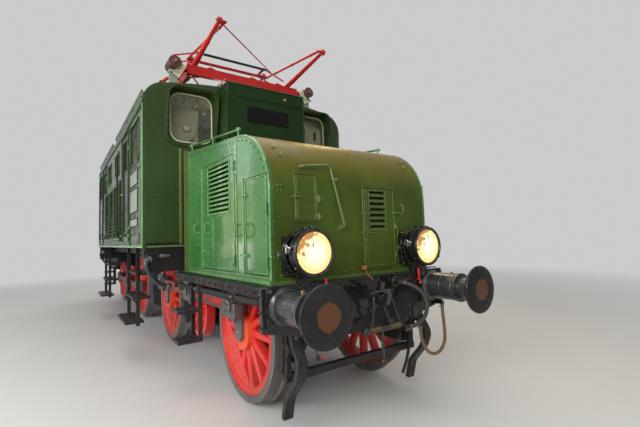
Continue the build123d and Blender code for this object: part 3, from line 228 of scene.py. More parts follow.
# Look, material name, colour, roughness, metallic, coat, cloudiness, grime and what else it has
LOOKS = (
    ("body", "body_green", (0.022, 0.056, 0.014), 0.3, 0, 0.25, 0.14, 0.1, {"wave": 0.05}),
    ("end", "end_wall_green", (0.026, 0.048, 0.01), 0.3, 0, 0.2, 0.14, 0.05, {"wave": 0.05}),
    ("duct", "duct_green", (0.009, 0.027, 0.005), 0.3, 0, 0.08, 0.14, 0, {"wave": 0.04, "shine": 0.12}),
    ("hood", "hood_green", (0.042, 0.15, 0.038), 0.22, 0, 0.5, 0.16, 0.08,
     {"wave": 0.22, "speck": ((0.1, 0.3, 0.12), 0.5)}),
    # the hood's front and top: its green painted darker and warmer as painted shade and warm light
    ("front", "hood_front_olive", FRONT_SHADED_GREEN, 0.34, 0, 0.06, 0.22, 0.06,
     {"wave": 0.06, "shine": 0.12, "top": CURVE_WARM_REFLECTION, "speck": ((0.09, 0.06, 0.02), 0.5)}),
    ("trim", "trim_green", (0.1, 0.24, 0.075), 0.26, 0, 0.5, 0.2, 0.1, {"wear": (CREAM, 0.6)}),
    ("chipped", "chipped_green", (0.1, 0.24, 0.09), 0.26, 0, 0.8, 0.2, 0.1,
     {"speck": ((0.62, 0.66, 0.55), 0.9)}),
    # trim green on the hood's front, painted darker and warmer as shade and warm light, like the hood front
    ("olive_trim", "olive_trim", (0.085, 0.135, 0.028), 0.24, 0, 0.4, 0.2, 0, {"wear": (CREAM, 0.3)}),
    ("red", "signal_red", (0.64, 0.028, 0.02), 0.34, 0, 0.3, 0.14, 0.22,
     {"grime_top": 1.0, "speck": ((0.2, 0.02, 0.02), 0.4)}),
    ("hub", "hub_red", (0.74, 0.072, 0.024), 0.34, 0, 0.3, 0.12, 0.1, {}),
    ("flute", "flute_red", (0.42, 0.024, 0.018), 0.45, 0, 0.2, 0.2, 0.2, {}),
    ("pan_red", "pantograph_red", (0.46, 0.016, 0.014), 0.38, 0, 0.15, 0.15, 0,
     {"speck": ((0.1, 0.02, 0.02), 0.5)}),
    ("black", "beam_black", (0.008, 0.008, 0.009), 0.2, 0, 0.6, 0.3, 0.14,
     {"wear": (STEEL, 0.5), "wave": 0.06}),
    # buffer casing: a dark grey lightened as painted sheen for its highlights
    ("casing", "buffer_casing", (0.055, 0.06, 0.064), 0.28, 0.5, 0.5, 0.35, 0.1,
     {"wear": (STEEL, 0.8), "grain": (0.2, 26.0), "speck": ((0.1, 0.1, 0.11), 0.6)}),
    ("buffer_plate", "buffer_plate", (0.02, 0.02, 0.021), 0.36, 0.25, 0, 0.5, 0,
     {"wear": (STEEL, 0.9), "grain": (0.25, 30.0), "speck": ((0.06, 0.056, 0.05), 0.7), "spot": RUST_DISC}),
    ("frame", "frame_black", (0.01, 0.01, 0.011), 0.42, 0, 0, 0.35, 0.3,
     {"wear": (STEEL, 0.5), "grain": (0.15, 40.0)}),
    ("guard", "guard_grey", (0.06, 0.072, 0.08), 0.36, 0.35, 0, 0.4, 0.25,
     {"wear": (STEEL, 0.6), "grain": (0.15, 40.0)}),
    ("steel", "bare_steel", STEEL, 0.36, 0.85, 0, 0.3, 0.2, {}),
    ("tyre", "tyre_grey", (0.17, 0.155, 0.15), 0.42, 0.45, 0, 0.3, 0.3, {"speck": (RUST, 0.7)}),
    ("rod_grey", "rod_grey", (0.2, 0.2, 0.21), 0.34, 0.7, 0, 0.25, 0.1, {"speck": (RUST, 0.5)}),
    ("rust", "rusty_iron", RUST, 0.65, 0, 0, 0.45, 0.1, {"grain": (0.4, 60.0), "speck": (OCHRE, 0.8)}),
    ("brass", "dull_brass", (0.36, 0.22, 0.07), 0.34, 0.8, 0, 0.25, 0.1, {}),
    ("bronze", "oiled_bronze", (0.13, 0.085, 0.04), 0.34, 0.6, 0, 0.3, 0.1, {}),
    ("ochre", "ochre_primer", OCHRE, 0.5, 0, 0, 0.3, 0, {"speck": (RUST, 0.7)}),
    ("beige", "beige_paint", (0.3, 0.29, 0.165), 0.45, 0, 0, 0.1, 0, {"speck": ((0.12, 0.1, 0.05), 0.4)}),
    ("dark_wood", "dark_panel", (0.045, 0.032, 0.02), 0.45, 0, 0, 0.3, 0, {}),
    ("brown", "insulator_glaze", (0.075, 0.022, 0.014), 0.16, 0, 0.8, 0.2, 0, {}),
    ("plate", "plate_black", (0.006, 0.006, 0.006), 0.36, 0, 0, 0.1, 0, {"shine": 0.1}),
    ("cream", "cream_paint", CREAM, 0.45, 0, 0, 0.12, 0.1, {"speck": (RUST, 0.4)}),
    ("pale", "pale_grey_green", (0.26, 0.31, 0.25), 0.4, 0, 0, 0.15, 0.1, {}),
    ("motor", "motor_grey", (0.1, 0.11, 0.11), 0.5, 0, 0, 0.2, 0.2, {}),
    ("signal", "handle_red", (0.75, 0.03, 0.02), 0.3, 0, 0.5, 0.1, 0, {}),
    ("chrome", "bright_steel", (0.55, 0.55, 0.54), 0.16, 1.0, 0, 0.1, 0, {}),
    ("grease", "black_grease", (0.013, 0.012, 0.011), 0.18, 0, 0.9, 0.3, 0, {"grain": (0.6, 60.0)}),
)
MATS = {look: metal(*facts, **more) for look, *facts, more in LOOKS}
MATS["grey_hose"] = hose("hose_cloth", (0.044, 0.048, 0.04), 420.0)
MATS["brown_hose"] = hose("hose_brown", (0.15, 0.085, 0.04), 480.0)
MATS["black_hose"] = hose("hose_rubber", (0.016, 0.016, 0.017), 380.0)
MATS["lit"], MATS["unlit"] = lamp_glass("lamp_light", 1.0), lamp_glass("lamp_dark", 0.0)
MATS["glass"] = window_glass("window_glass")


def hood_slant(front, rear, x):
    return front + (rear - front) * (HOOD_FRONT - x) / (HOOD_FRONT - HOOD_REAR)


def hood_half(x):
    return hood_slant(HOOD_HALF_FRONT, HOOD_HALF_REAR, x)


def hood_top(x):
    return hood_slant(HOOD_TOP_FRONT, HOOD_TOP_REAR, x)


# Rules that give each face of a CAD node one of its looks, by the face's place and direction
def hood_face(at, out):
    on_side = abs(out.y) > 0.5 or abs(at.y) > hood_half(at.x) - 0.024
    away = math.hypot(at.x - CURVE_X, at.z - CURVE_Z)
    off_curve = at.z > CURVE_Z and away > CURVE_R + 0.01 and at.y < -0.18
    # the hood's rear end and the proud plates on its front take the trim green painted darker and warmer as
    # shade and warm light
    if at.x < HOOD_REAR or ((off_curve or at.x > 5.132) and abs(at.y) < 0.7 and at.x > 5.0):
        return 2
    # side faces keep the hood green; front and top faces get its copy with painted shade and warm light
    if on_side:
        return 0
    return 3 if at.z > hood_top(at.x) + 0.004 else 1


def wheel_face(at, out):
    radius, y = math.hypot(at.x - AXLES[at.x > PIVOT_X], at.z - AXLE_Z), abs(at.y)
    if y > 0.846:
        return 2
    if radius < 0.192 and y > 0.803:
        return 4
    if y < 0.66:
        return 3
    return 1 if radius > 0.6 else 0


def rod_face(at, out):
    return 1 if abs(out.y) > 0.7 and abs(at.y) < ROD_Y + 0.02 else 0


def buffer_face(at, out):
    return 1 if at.x > 5.745 else 2 if at.x < 5.227 else 0


def bogie_face(at, out):
    if at.x > 5.159 and at.z > 0.95:
        return 1
    return 2 if at.x > 4.95 and at.z < 0.96 and abs(at.y) > 0.7 else 0


def end_face(at, out):
    if at.x > 2.93 and abs(at.y) < DUCT_HALF + 0.01:
        return 1
    return 2 if at.x < BODY_HALF - 0.03 else 0


def shell_face(at, out):
    """Inner faces of the walls, doors and roof are beige"""
    return 1 if at.y * out.y + (at.z - 3.0) * out.z * (at.z > 3.3) < -0.02 else 0


def head_face(at, out):
    return 1 if at.x > PAN_CENTRE and abs(at.y) < 0.58 and at.z > 4.54 else 0


def insulator_face(at, out):
    """Drums brown, the feet under them pale, the arms to the base frame red"""
    if at.z < RAIL + 3.922:
        return 1
    return 2 if abs(at.y) < 0.955 else 0


# Start of a node's name, its looks, and the rule that picks one for each face
NODE_LOOKS = (
    ("hood_", ("hood", "front", "olive_trim", "trim"), hood_face),
    ("wheelset_", ("red", "tyre", "rod_grey", "frame", "hub"), wheel_face),
    ("coupling_rods", ("rod_grey", "flute"), rod_face),
    ("buffers", ("casing", "buffer_plate", "black"), buffer_face),
    ("bogie_frame", ("frame", "black", "guard"), bogie_face),
    ("roof_insulators", ("brown", "pale", "pan_red"), insulator_face),
    ("end_wall", ("end", "duct", "beige"), end_face),
    ("roof", ("body", "beige"), shell_face), ("side_walls", ("body", "beige"), shell_face),
    ("cab_door", ("body", "beige"), shell_face),
    ("pantograph_front_head", ("pan_red", "frame"), head_face),
    ("pantograph_rear_head", ("pan_red", "frame"), head_face), ("pantograph_", ("pan_red",), None),
    ("jackshaft", ("red",), None), ("window_glass", ("glass",), None), ("partitions", ("beige",), None),
    ("transformer", ("motor",), None), ("motor", ("motor",), None), ("headlamps", ("black",), None),
    ("brake_hose_right", ("grey_hose",), None), ("brake_hose_left", ("brown_hose",), None),
    ("brake_gear", ("frame",), None), ("coupling_", ("grease",), None), ("underframe", ("frame",), None),
    ("ladders", ("frame",), None), ("side_louvres", ("body",), None),
    ("front_hood", ("hood",), None), ("rear_hood", ("hood",), None),
)
for node_name in NODES:
    looks, rule = next(row[1:] for row in NODE_LOOKS if node_name.startswith(row[0]))
    cad_mesh = NODES[node_name].data
    cad_mesh.materials.clear()
    for look in looks:
        cad_mesh.materials.append(MATS[look])
    to_front = HALF_TURN if "rear" in node_name else Matrix.Identity(4)
    for face in cad_mesh.polygons if rule else ():
        face.material_index = rule(to_front @ face.center, to_front.to_3x3() @ face.normal)


# Helpers for curves, rows of places and directions
def tube(name, points, radius, smooth=True, closed=False, resolution=8, around=2):
    """A round curve along a smooth line, or along straight runs"""
    data = bpy.data.curves.new(name, "CURVE")
    data.dimensions = "3D"
    line = data.splines.new("NURBS" if smooth else "POLY")
    line.points.add(len(points) - 1)
    for spot, point in zip(line.points, points):
        spot.co = (*point, 1.0)
    line.order_u = 3
    line.use_endpoint_u = True
    line.use_cyclic_u = closed
    data.resolution_u = resolution
    data.bevel_depth = radius
    data.bevel_resolution = around
    data.use_fill_caps = True
    return data


def row(count, first, step):
    """Places at even steps from the first"""
    return [tuple(a + b * number for a, b in zip(first, step)) for number in range(count)]


def four(wide, high):
    """Corners of a rectangle round nought, from its half sizes"""
    return [(a, b) for a in (-wide, wide) for b in (-high, high)]


def corners(left, right, low, high, *out):
    return [(left, low, *out), (right, low, *out), (right, high, *out), (left, high, *out)]


def rounded(across, up, wide, high, radius, out):
    """Corner points of a rounded rectangle, from its middle and half sizes"""
    points = []
    for corner, (a, b) in enumerate(((1, 1), (-1, 1), (-1, -1), (1, -1))):
        for step in range(5):
            turn = math.radians(90 * corner + 22.5 * step)
            points.append((across + a * (wide - radius) + radius * math.cos(turn),
                           up + b * (high - radius) + radius * math.sin(turn), out))
    return points


def yz(angle, radius=1.0):
    return Vector((0, radius * math.cos(math.radians(angle)), radius * math.sin(math.radians(angle))))


def xz(angle, radius=1.0):
    return Vector((radius * math.cos(math.radians(angle)), 0, radius * math.sin(math.radians(angle))))


def in_space(x, y, z):
    return Vector((x, y, z))


def square_to(way):
    """Two directions square to a direction and to each other"""
    across = way.orthogonal().normalized()
    return across, way.cross(across)


class Piece:
    """One mesh built from parts. Its pen holds the look, the outward direction and how a point is placed."""

    def __init__(self):
        self.mesh = bmesh.new()
        self.looks = []

    def pen(self, look, out, spot=in_space):
        self.look, self.out, self.spot = look, Vector(out), spot

    def at(self, point):
        return point if isinstance(point, Vector) else self.spot(*point)

    def way(self, way):
        return (self.out if way is None else Vector(way)).normalized()

    def mark(self, faces, look):
        look = look or self.look
        if look not in self.looks:
            self.looks.append(look)
        for face in faces:
            face.material_index = self.looks.index(look)

    def skin(self, first, second):
        """Faces between two rings of points"""
        pairs = [(n, n + 1 - len(first)) for n in range(len(first))]
        return [self.mesh.faces.new((first[n], first[m], second[m], second[n])) for n, m in pairs]

    def solid(self, rings, look=None):
        """Skin over rings of points, each ring with the same count, capped at both ends"""
        rows = [[self.mesh.verts.new(point) for point in ring] for ring in rings]
        faces = []
        for first, second in zip(rows, rows[1:]):
            faces += self.skin(first, second)
        self.mark([*faces, self.mesh.faces.new(rows[0][::-1]), self.mesh.faces.new(rows[-1])], look)

    def bar(self, start, end, width, depth, look=None, side=None, bevel=0.15):
        """A bar with chamfered edges: depth along side, width across it"""
        start, end = self.at(start), self.at(end)
        way = (end - start).normalized()
        side = self.out if side is None else Vector(side)
        deep = (side - way * way.dot(side)).normalized()
        wide = way.cross(deep)
        cut = min(width, depth) * bevel
        w, d = width / 2, depth / 2
        outline = ((w - cut, d), (w, d - cut), (w, cut - d), (w - cut, -d), (cut - w, -d), (-w, cut - d),
                   (-w, d - cut), (cut - w, d))
        inner = 1 - 2 * cut / max(width, depth)
        self.solid([[centre + (wide * u + deep * v) * scale for u, v in outline] for centre, scale in (
            (start, inner), (start + way * cut, 1), (end - way * cut, 1), (end, inner))], look)

    def strip(self, start, end, width, thick, look=None, bevel=0.15):
        """A bar that lies on the surface"""
        self.bar((*start, thick / 2), (*end, thick / 2), width, thick, look, bevel=bevel)

    def block(self, low, high, look=None, bevel=0.15):
        low, high = self.at(low), self.at(high)
        size = high - low
        foot, head = (Vector(((low.x + high.x) / 2, (low.y + high.y) / 2, z)) for z in (low.z, high.z))
        self.bar(foot, head, size.y, size.x, look, AHEAD, bevel)

    def frame(self, points, width, depth, look=None):
        """A closed moulding along points"""
        points = [self.at(point) for point in points]
        for first, second in zip(points, points[1:] + points[:1]):
            reach = (second - first).normalized() * width / 2
            self.bar(first - reach, second + reach, width, depth, look, bevel=0.2)

    def spin(self, at, profile, look=None, way=None, sides=24):
        """A turned part: profile is (distance along way, radius) from one end to the other"""
        at, way = self.at(at), self.way(way)
        across, over = square_to(way)
        turns = [2 * math.pi * n / sides for n in range(sides)]
        outline = [across * math.cos(turn) + over * math.sin(turn) for turn in turns]
        self.solid([[at + way * far + out * radius for out in outline] for far, radius in profile], look)

    def ring(self, at, radius, thick, look=None, way=None, sides=32):
        """A closed bead of round section round an axis"""
        at, way = self.at(at), self.way(way)
        across, over = square_to(way)
        rows = []
        for angle in (2 * math.pi * n / sides for n in range(sides)):
            out = across * math.cos(angle) + over * math.sin(angle)
            rows.append([self.mesh.verts.new(at + out * (radius + thick * math.cos(turn))
                                             + way * thick * math.sin(turn))
                         for turn in (k * math.pi / 4 for k in range(8))])
        for first, second in zip(rows, rows[1:] + rows[:1]):
            self.mark(self.skin(first, second), look)

    def rod(self, start, end, radius, look=None, sides=12):
        start, end = self.at(start), self.at(end)
        far, cut = (end - start).length, radius * 0.1
        profile = ((0, radius - cut), (cut, radius), (far - cut, radius), (far, radius - cut))
        self.spin(start, profile, look, end - start, sides)

    def rivet(self, at, radius, look=None, way=None):
        profile = ((-0.002, radius), (radius * 0.35, radius * 0.85), (radius * 0.62, radius * 0.45))
        self.spin(at, profile, look, way, 8)

    def rivets(self, count, first, step, radius, look=None, way=None):
        for at in row(count, first, step):
            self.rivet(at, radius, look, way)

    def bolt(self, at, radius, look=None, way=None, washer=True):
        if washer:
            flange = ((-0.002, radius * 1.5), (radius * 0.22, radius * 1.5), (radius * 0.25, radius))
            self.spin(at, flange, look, way, 12)
        self.spin(at, ((0, radius), (radius * 0.85, radius), (radius, radius * 0.85)), look, way, 6)
        stud = ((0, radius * 0.5), (radius * 1.35, radius * 0.5), (radius * 1.5, radius * 0.35))
        self.spin(at, stud, look, way, 8)

    def pipe(self, points, radius, look=None, smooth=True, closed=False, around=2):
        data = tube("route", [self.at(point) for point in points], radius, smooth, closed, around=around)
        holder = bpy.data.objects.new("route", data)
        made = bpy.data.meshes.new_from_object(holder)
        before = len(self.mesh.faces)
        self.mesh.from_mesh(made)
        self.mesh.faces.ensure_lookup_table()
        self.mark(self.mesh.faces[before:], look)
        bpy.data.objects.remove(holder)
        bpy.data.curves.remove(data)
        bpy.data.meshes.remove(made)

    def bow(self, start, end, reach, radius):
        """A bow handle on two feet"""
        start, end, out = self.at(start), self.at(end), self.out
        along = (end - start).normalized() * reach * 0.6
        self.pipe((start - out * 0.004, start + out * reach * 0.7, start + out * reach + along,
                   end + out * reach - along, end + out * reach * 0.7, end - out * 0.004), radius)
        for foot in (start, end):
            self.spin(foot, ((-0.002, radius * 2.2), (0.003, radius * 2.2), (0.005, radius * 1.5)), sides=12)

    def put(self, name, body, turn):
        bmesh.ops.recalc_face_normals(self.mesh, faces=self.mesh.faces)
        self.mesh.transform(turn)
        if turn.determinant() < 0:
            bmesh.ops.reverse_faces(self.mesh, faces=self.mesh.faces)
        made = bpy.data.meshes.new(name)
        self.mesh.to_mesh(made)
        self.mesh.free()
        for look in self.looks:
            made.materials.append(MATS[look])
        made.shade_smooth()
        made.set_sharp_from_angle(angle=math.radians(38))
        piece = bpy.data.objects.new(name, made)
        bpy.context.scene.collection.objects.link(piece)
        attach(piece, body)


SIDE_TURN = math.atan((HOOD_HALF_REAR - HOOD_HALF_FRONT) / (HOOD_FRONT - HOOD_REAR))
SIDE_OUT = Vector((math.sin(SIDE_TURN), -math.cos(SIDE_TURN), 0))


# Places on the model's faces, each with a distance out from the face
def on_side(x, z, out=0.0):
    return Vector((x, -hood_half(x), z)) + SIDE_OUT * out


def on_front(y, z, out=0.0):
    return Vector((HOOD_FRONT + out, y, z))


def on_plate(y, z):
    angle = math.asin(max(0.0, z - CURVE_Z) / CURVE_R)
    return Vector((CURVE_X, y, min(z, CURVE_Z))) + xz(math.degrees(angle), CURVE_R + PLATE_LIP)


def on_body(x, z, out=0.0):
    return Vector((x, -BODY_HALF_WIDTH - out, z))


def on_end(y, z, out=0.0):
    return Vector((BODY_HALF + out, y, z))


def on_duct(y, z, out=0.0):
    return Vector((DUCT_FRONT + out, y, z))


def hood_line(step):
    """Points of the bent front sheet from its foot over the curve to the rear, with the way out at each"""
    slope = math.atan((HOOD_TOP_REAR - HOOD_TOP_FRONT) / (HOOD_FRONT - HOOD_REAR))
    turn = math.pi / 2 - slope
    upright, bend = CURVE_Z - HOOD_Z, CURVE_R * turn
    centre, over = Vector((CURVE_X, 0, CURVE_Z)), xz(math.degrees(turn))
    end = centre + over * CURVE_R
    back = Vector((-math.cos(slope), 0, math.sin(slope)))
    total = upright + bend + (end.x - HOOD_REAR) / math.cos(slope)
    far = 0.04
    while far < total - 0.05:
        if far < upright:
            yield Vector((HOOD_FRONT, 0, HOOD_Z + far)), AHEAD
        elif far < upright + bend:
            out = xz(math.degrees((far - upright) / CURVE_R))
            yield centre + out * CURVE_R, out
        else:
            yield end + back * (far - upright - bend), over
        far += step


def catch(piece, x, z, reach):
    """A turn catch: a boss on its leaf, and a finger that reaches over the joint"""
    boss = ((-0.002, 0.016), (0.008, 0.016), (0.011, 0.011), (0.02, 0.011), (0.024, 0.007))
    piece.spin((x, z), boss, sides=14)
    piece.bar((x + 0.012, z, 0.014), (x - reach, z + 0.004, 0.014), 0.014, 0.007)
    piece.rod((x, z - 0.03, 0.017), (x, z + 0.02, 0.017), 0.0045, sides=8)


# Fixed strips on the hood's side: x, bottom, top, width, thickness, look
SIDE_BATTENS = (
    (3.54, 1.3, 2.43, 0.018, 0.008, "trim"), (4.48, 1.3, 2.235, 0.024, 0.007, "trim"),
    (4.63, 1.3, 2.17, 0.018, 0.007, "trim"), (4.472, 2.25, 2.56, 0.056, 0.004, "chipped"),
    (5.108, 1.268, 2.14, 0.016, 0.006, "trim"),
)
CORNER_INSET = 0.047


def hood_side_trim(piece):
    piece.pen("trim", SIDE_OUT, on_side)
    for z, height, thick in ((1.247, 0.03, 0.01), (1.288, 0.009, 0.005)):
        piece.strip((3.045, z), (5.112, z), height, thick)
    for x, low, high, width, thick, look in SIDE_BATTENS:
        piece.strip((x, low), (x, high), width, thick, look, 0.2)
    piece.rivets(19, (3.12, 1.249, 0.01), (0.108, 0, 0), 0.008)
    piece.rivets(19, (3.16, 2.475), (0.068, 0), 0.006, "hood")
    for x, look in ((4.455, "frame"), (4.489, "chipped")):
        piece.rivets(5, (x, 2.29, 0.004), (0, 0.06, 0), 0.007, look)
    for spot, out in hood_line(0.096):
        edge = spot - out * CORNER_INSET
        if edge.z > 2.17:
            piece.rivet((edge.x, edge.z), 0.009, "frame")
        piece.rivet(spot + LEFT * (0.034 - hood_half(spot.x)), 0.0085, "olive_trim", out)
    # a bead along the bent edge of the front sheet
    bead = [spot + LEFT * (0.001 - hood_half(spot.x)) for spot, out in hood_line(0.09) if spot.x > 4.2]
    piece.pipe(bead, 0.005, "chipped", around=1)
    piece.bow((3.389, 1.7), (3.389, 1.812), 0.045, 0.007)
    piece.bow((4.545, 1.64), (4.545, 1.755), 0.05, 0.009)
    # knobs at the ends of the handrail and flanges under its posts
    piece.pen("trim", UP, lambda x, up=0.0: Vector((x, 0.04 - hood_half(x), hood_top(x) + up)))
    ball = ((-0.016, 0.004), (-0.013, 0.013), (0, 0.018), (0.013, 0.013), (0.016, 0.004))
    for x in (3.04, 4.48):
        piece.spin((x, 0.08), ball, way=AHEAD, sides=14)
    for x in (3.1, 3.8, 4.46):
        piece.spin((x,), ((-0.003, 0.026), (0.006, 0.026), (0.009, 0.02)), sides=16)
        socket = ((0, 0.01), (0.006, 0.017), (0.022, 0.0185), (0.036, 0.017), (0.04, 0.008))
        piece.spin((x, 0.06), socket, sides=14)


# Strips on the louvred door: x, bottom, top and width of upright ones, height and ends of level ones
DOOR_UPRIGHTS = (
    (4.322, 1.86, 2.405, 0.02), (3.731, 1.86, 2.405, 0.014), (3.868, 1.33, 1.85, 0.01),
    (3.892, 1.33, 1.85, 0.01), (4.43, 1.33, 2.42, 0.014), (3.572, 1.315, 2.43, 0.012),
)
DOOR_RAILS = ((2.408, 3.725, 4.33), (1.862, 3.725, 4.33), (1.336, 3.89, 4.43), (1.322, 3.566, 4.436))


def louvred_door_trim(piece):
    piece.pen("trim", SIDE_OUT, on_side)
    for x, low, high, width in DOOR_UPRIGHTS:
        piece.strip((x, low), (x, high), width, 0.006)
    for z, rear, front in DOOR_RAILS:
        piece.strip((rear, z), (front, z), 0.01, 0.006)
    piece.bow((3.737, 1.69), (3.737, 1.8), 0.045, 0.007)
    # rolled lips of the louvre blades, and a black sheet behind them as painted shade inside the hood
    # the lips' lighter trim green is a painted highlight on the blades
    for x, z in row(11, (3.755, 1.8896), (0, 0.0472)):
        piece.bar((x, z, 0.003), (4.298, z, 0.003), 0.023, 0.007, bevel=0.3)
    piece.bar((4.026, 1.88, -0.03), (4.026, 2.39, -0.03), 0.56, 0.004, "plate")
    for z in (2.164, 1.495, 1.345):
        catch(piece, 3.612, z, 0.085)
    for x in (3.6, 4.408):
        piece.rivets(10, (x, 1.4), (0, 0.11), 0.005, "hood")
    # small plate at the lower front corner
    middle = on_side(4.356, 1.372)
    low = middle + SIDE_OUT * 0.001 - Vector((0.03, 0.004, 0.045))
    piece.block(low, middle + Vector((0.03, 0.002, 0.045)), "chipped")


LEAF_BOLTS = ((4.75, 1.955), (4.748, 1.921), (4.945, 1.958), (4.943, 1.922), (4.738, 1.839), (4.96, 1.847))


def front_leaf_trim(piece):
    piece.pen("trim", SIDE_OUT, on_side)
    for x in (4.675, 5.062):
        piece.strip((x, 1.315), (x, 2.14), 0.012, 0.006)
    piece.strip((4.67, 2.139), (5.07, 2.139), 0.01, 0.008, "chipped")
    piece.strip((4.67, 1.318), (5.07, 1.318), 0.01, 0.006)
    piece.bow((4.734, 1.632), (4.734, 1.75), 0.05, 0.009)
    for z in (2.005, 1.465):
        catch(piece, 4.69, z, 0.12)
    for at in LEAF_BOLTS:
        piece.rivet(at, 0.006, "frame")


# Places of bolts on the hood's front, and of the beads round the hatch and the louvred door
FRONT_BOLTS = (
    (-0.869, 2.047), (-0.837, 2.047), (-0.869, 2.002), (-0.837, 2.002), (-0.857, 1.786), (-0.82, 1.786),
    (-0.204, 1.379), (-0.12, 1.379), (-0.191, 1.295), (-0.106, 1.295), (0.195, 1.29), (0.44, 1.286),
    (0.86, 2.03), (0.86, 1.99), (0.86, 1.78),
)
FRONT_BEADS = ((-0.7, -0.479, 1.769, 2.163), (-0.682, -0.497, 1.79, 2.14), (0.061, 0.46, 1.32, 2.08))


def hatch_trim(piece):
    """Latch with a crossed handle, and two hinges"""
    piece.spin((-0.716, 1.955), ((-0.002, 0.02), (0.016, 0.018), (0.03, 0.01), (0.034, 0.006)), sides=14)
    piece.rod((-0.765, 1.952, 0.03), (-0.66, 1.958, 0.03), 0.006, sides=10)
    piece.rod((-0.716, 1.925, 0.026), (-0.716, 1.985, 0.026), 0.005, sides=10)
    for z in (1.944, 1.79):
        piece.rod((-0.462, z - 0.03, 0.012), (-0.462, z + 0.03, 0.012), 0.01)
        piece.bar((-0.462, z, 0.01), (-0.51, z, 0.01), 0.044, 0.005)
        piece.strip((-0.462, z), (-0.425, z), 0.044, 0.006)
        for y, out in ((-0.495, 0.012), (-0.436, 0.006)):
            piece.rivets(2, (y, z - 0.013, out), (0, 0.026, 0), 0.004)


def front_door_trim(piece):
    """Louvred door: beads, locking rod with guides, handles, keeper and hinges"""
    lip = PLATE_LIP - 0.002
    for y in (0.072, 0.096):
        piece.bar((y, 1.3, PLATE_LIP), (y, 2.055, lip), 0.008, 0.006)
    field = [(0.128, 1.638, PLATE_LIP), (0.352, 1.638, PLATE_LIP), (0.352, 2.05, lip), (0.128, 2.05, lip)]
    piece.frame(field, 0.008, 0.006)
    for y, z in row(7, (0.138, 1.6645), (0, 0.0561)):
        piece.bar((y, z, 0.004), (0.343, z, 0.004), 0.026, 0.007, bevel=0.3)
    # black sheet behind the louvres: painted shade inside the hood
    piece.bar((0.24, 1.65, -0.034), (0.24, 2.04, -0.034), 0.215, 0.004, "plate")
    piece.rod((0.04, 1.34, 0.016), (0.04, 2.04, 0.016), 0.0055, sides=10)
    for z in (1.38, 1.64, 1.821, 1.99):
        piece.block((0.028, z - 0.012, -0.002), (0.052, z + 0.012, 0.024))
    piece.spin((0.073, 1.821), ((-0.002, 0.017), (0.018, 0.015), (0.028, 0.008)), sides=14)
    for dy, dz in four(0.018, 0.018):
        piece.bolt((0.075 + dy, 1.362 + dz), 0.008, washer=False)
    piece.bar((0.448, 1.831, 0.024), (0.53, 1.829, 0.024), 0.014, 0.01)
    piece.spin((0.452, 1.831), ((-0.002, 0.016), (0.022, 0.012), (0.03, 0.008)), sides=14)
    piece.bow((0.576, 1.822), (0.576, 1.916), 0.034, 0.006)
    piece.pipe(((0.48, 1.69, 0.006), (0.48, 1.69, 0.022), (0.486, 1.686, 0.024), (0.492, 1.64, 0.024),
                (0.492, 1.596, 0.024), (0.492, 1.592, 0.01)), 0.006)
    for z in (1.42, 1.7):
        piece.rod((0.474, z - 0.03, 0.012), (0.474, z + 0.03, 0.012), 0.01)


def hood_front_trim(piece):
    # fittings on the front in the trim green painted darker and warmer for shade and warm light
    piece.pen("olive_trim", AHEAD, on_front)
    for at in FRONT_BOLTS:
        piece.bolt(at, 0.009, washer=False)
    piece.rivets(21, (-0.86, 1.262), (0.086, 0), 0.0075)
    piece.strip((-0.935, 1.244), (0.935, 1.244), 0.03, 0.008)
    for left, right, low, high in FRONT_BEADS:
        steps = [low, CURVE_Z] + [CURVE_Z + (high - CURVE_Z) * n / 4 for n in range(1, 5)]
        outline = [on_plate(left, z) for z in steps] + [on_plate(right, z) for z in reversed(steps)]
        piece.pipe(outline + outline[:1], 0.0045, smooth=False)
    hatch_trim(piece)
    front_door_trim(piece)
    # middle bracket of the grab tube and flanges at its ends
    piece.rod((-0.3, 2.15, -0.024), (-0.268, 2.132, 0.004), 0.008, sides=10)
    piece.spin((-0.262, 2.128, 0.008), ((-0.012, 0.014), (0, 0.018), (0.012, 0.014)), way=(1, 1, 0), sides=12)
    piece.spin((-0.22, 1.69), ((-0.002, 0.026), (0.006, 0.026), (0.009, 0.018)), sides=16)
    piece.strip((-0.262, 1.69), (-0.178, 1.69), 0.03, 0.006)
    # small ochre box with its pipe down to the beam, and a loose bare cable under the lamp
    piece.pen("ochre", AHEAD)
    piece.block((5.121, 0, 1.286), (5.158, 0.054, 1.33))
    piece.spin((5.158, 0.027, 1.308), ((-0.001, 0.016), (0.01, 0.014), (0.014, 0.008)), sides=12)
    piece.pipe(((5.146, 0.032, 1.29), (5.156, 0.036, 1.25), (5.206, 0.052, 1.222), (5.212, 0.066, 1.17),
                (5.206, 0.075, 1.13), (5.19, 0.08, 1.11)), 0.007)
    piece.pipe(((5.15, -0.866, 1.315), (5.142, -0.83, 1.3), (5.15, -0.8, 1.322), (5.144, -0.77, 1.3),
                (5.15, -0.735, 1.312), (5.14, -0.705, 1.296), (5.15, -0.69, 1.33)), 0.0055, "steel")
    # clamps on the curve, lifting eyes on the top
    for side in (-1, 1):
        for angle, y in ((46, 0.8), (36, 0.772)):
            out = xz(angle)
            at = Vector((CURVE_X, side * y, CURVE_Z)) + out * CURVE_R
            piece.spin(at, ((-0.003, 0.015), (0.012, 0.014), (0.022, 0.008)), "olive_trim", out, 12)
            across, grip = out.cross(RIGHT), at + out * 0.016
            piece.bar(grip - across * 0.03, grip + across * 0.035, 0.012, 0.01, "olive_trim", out)
        for x in (3.45, 4.33):
            top = Vector((x, side * 0.43, hood_top(x)))
            loop = ((0, -0.004), (-0.004, 0.045), (0.025, 0.062), (0.054, 0.045), (0.05, -0.004))
            piece.pipe([top + Vector((0, *step)) for step in loop], 0.009, "rust")


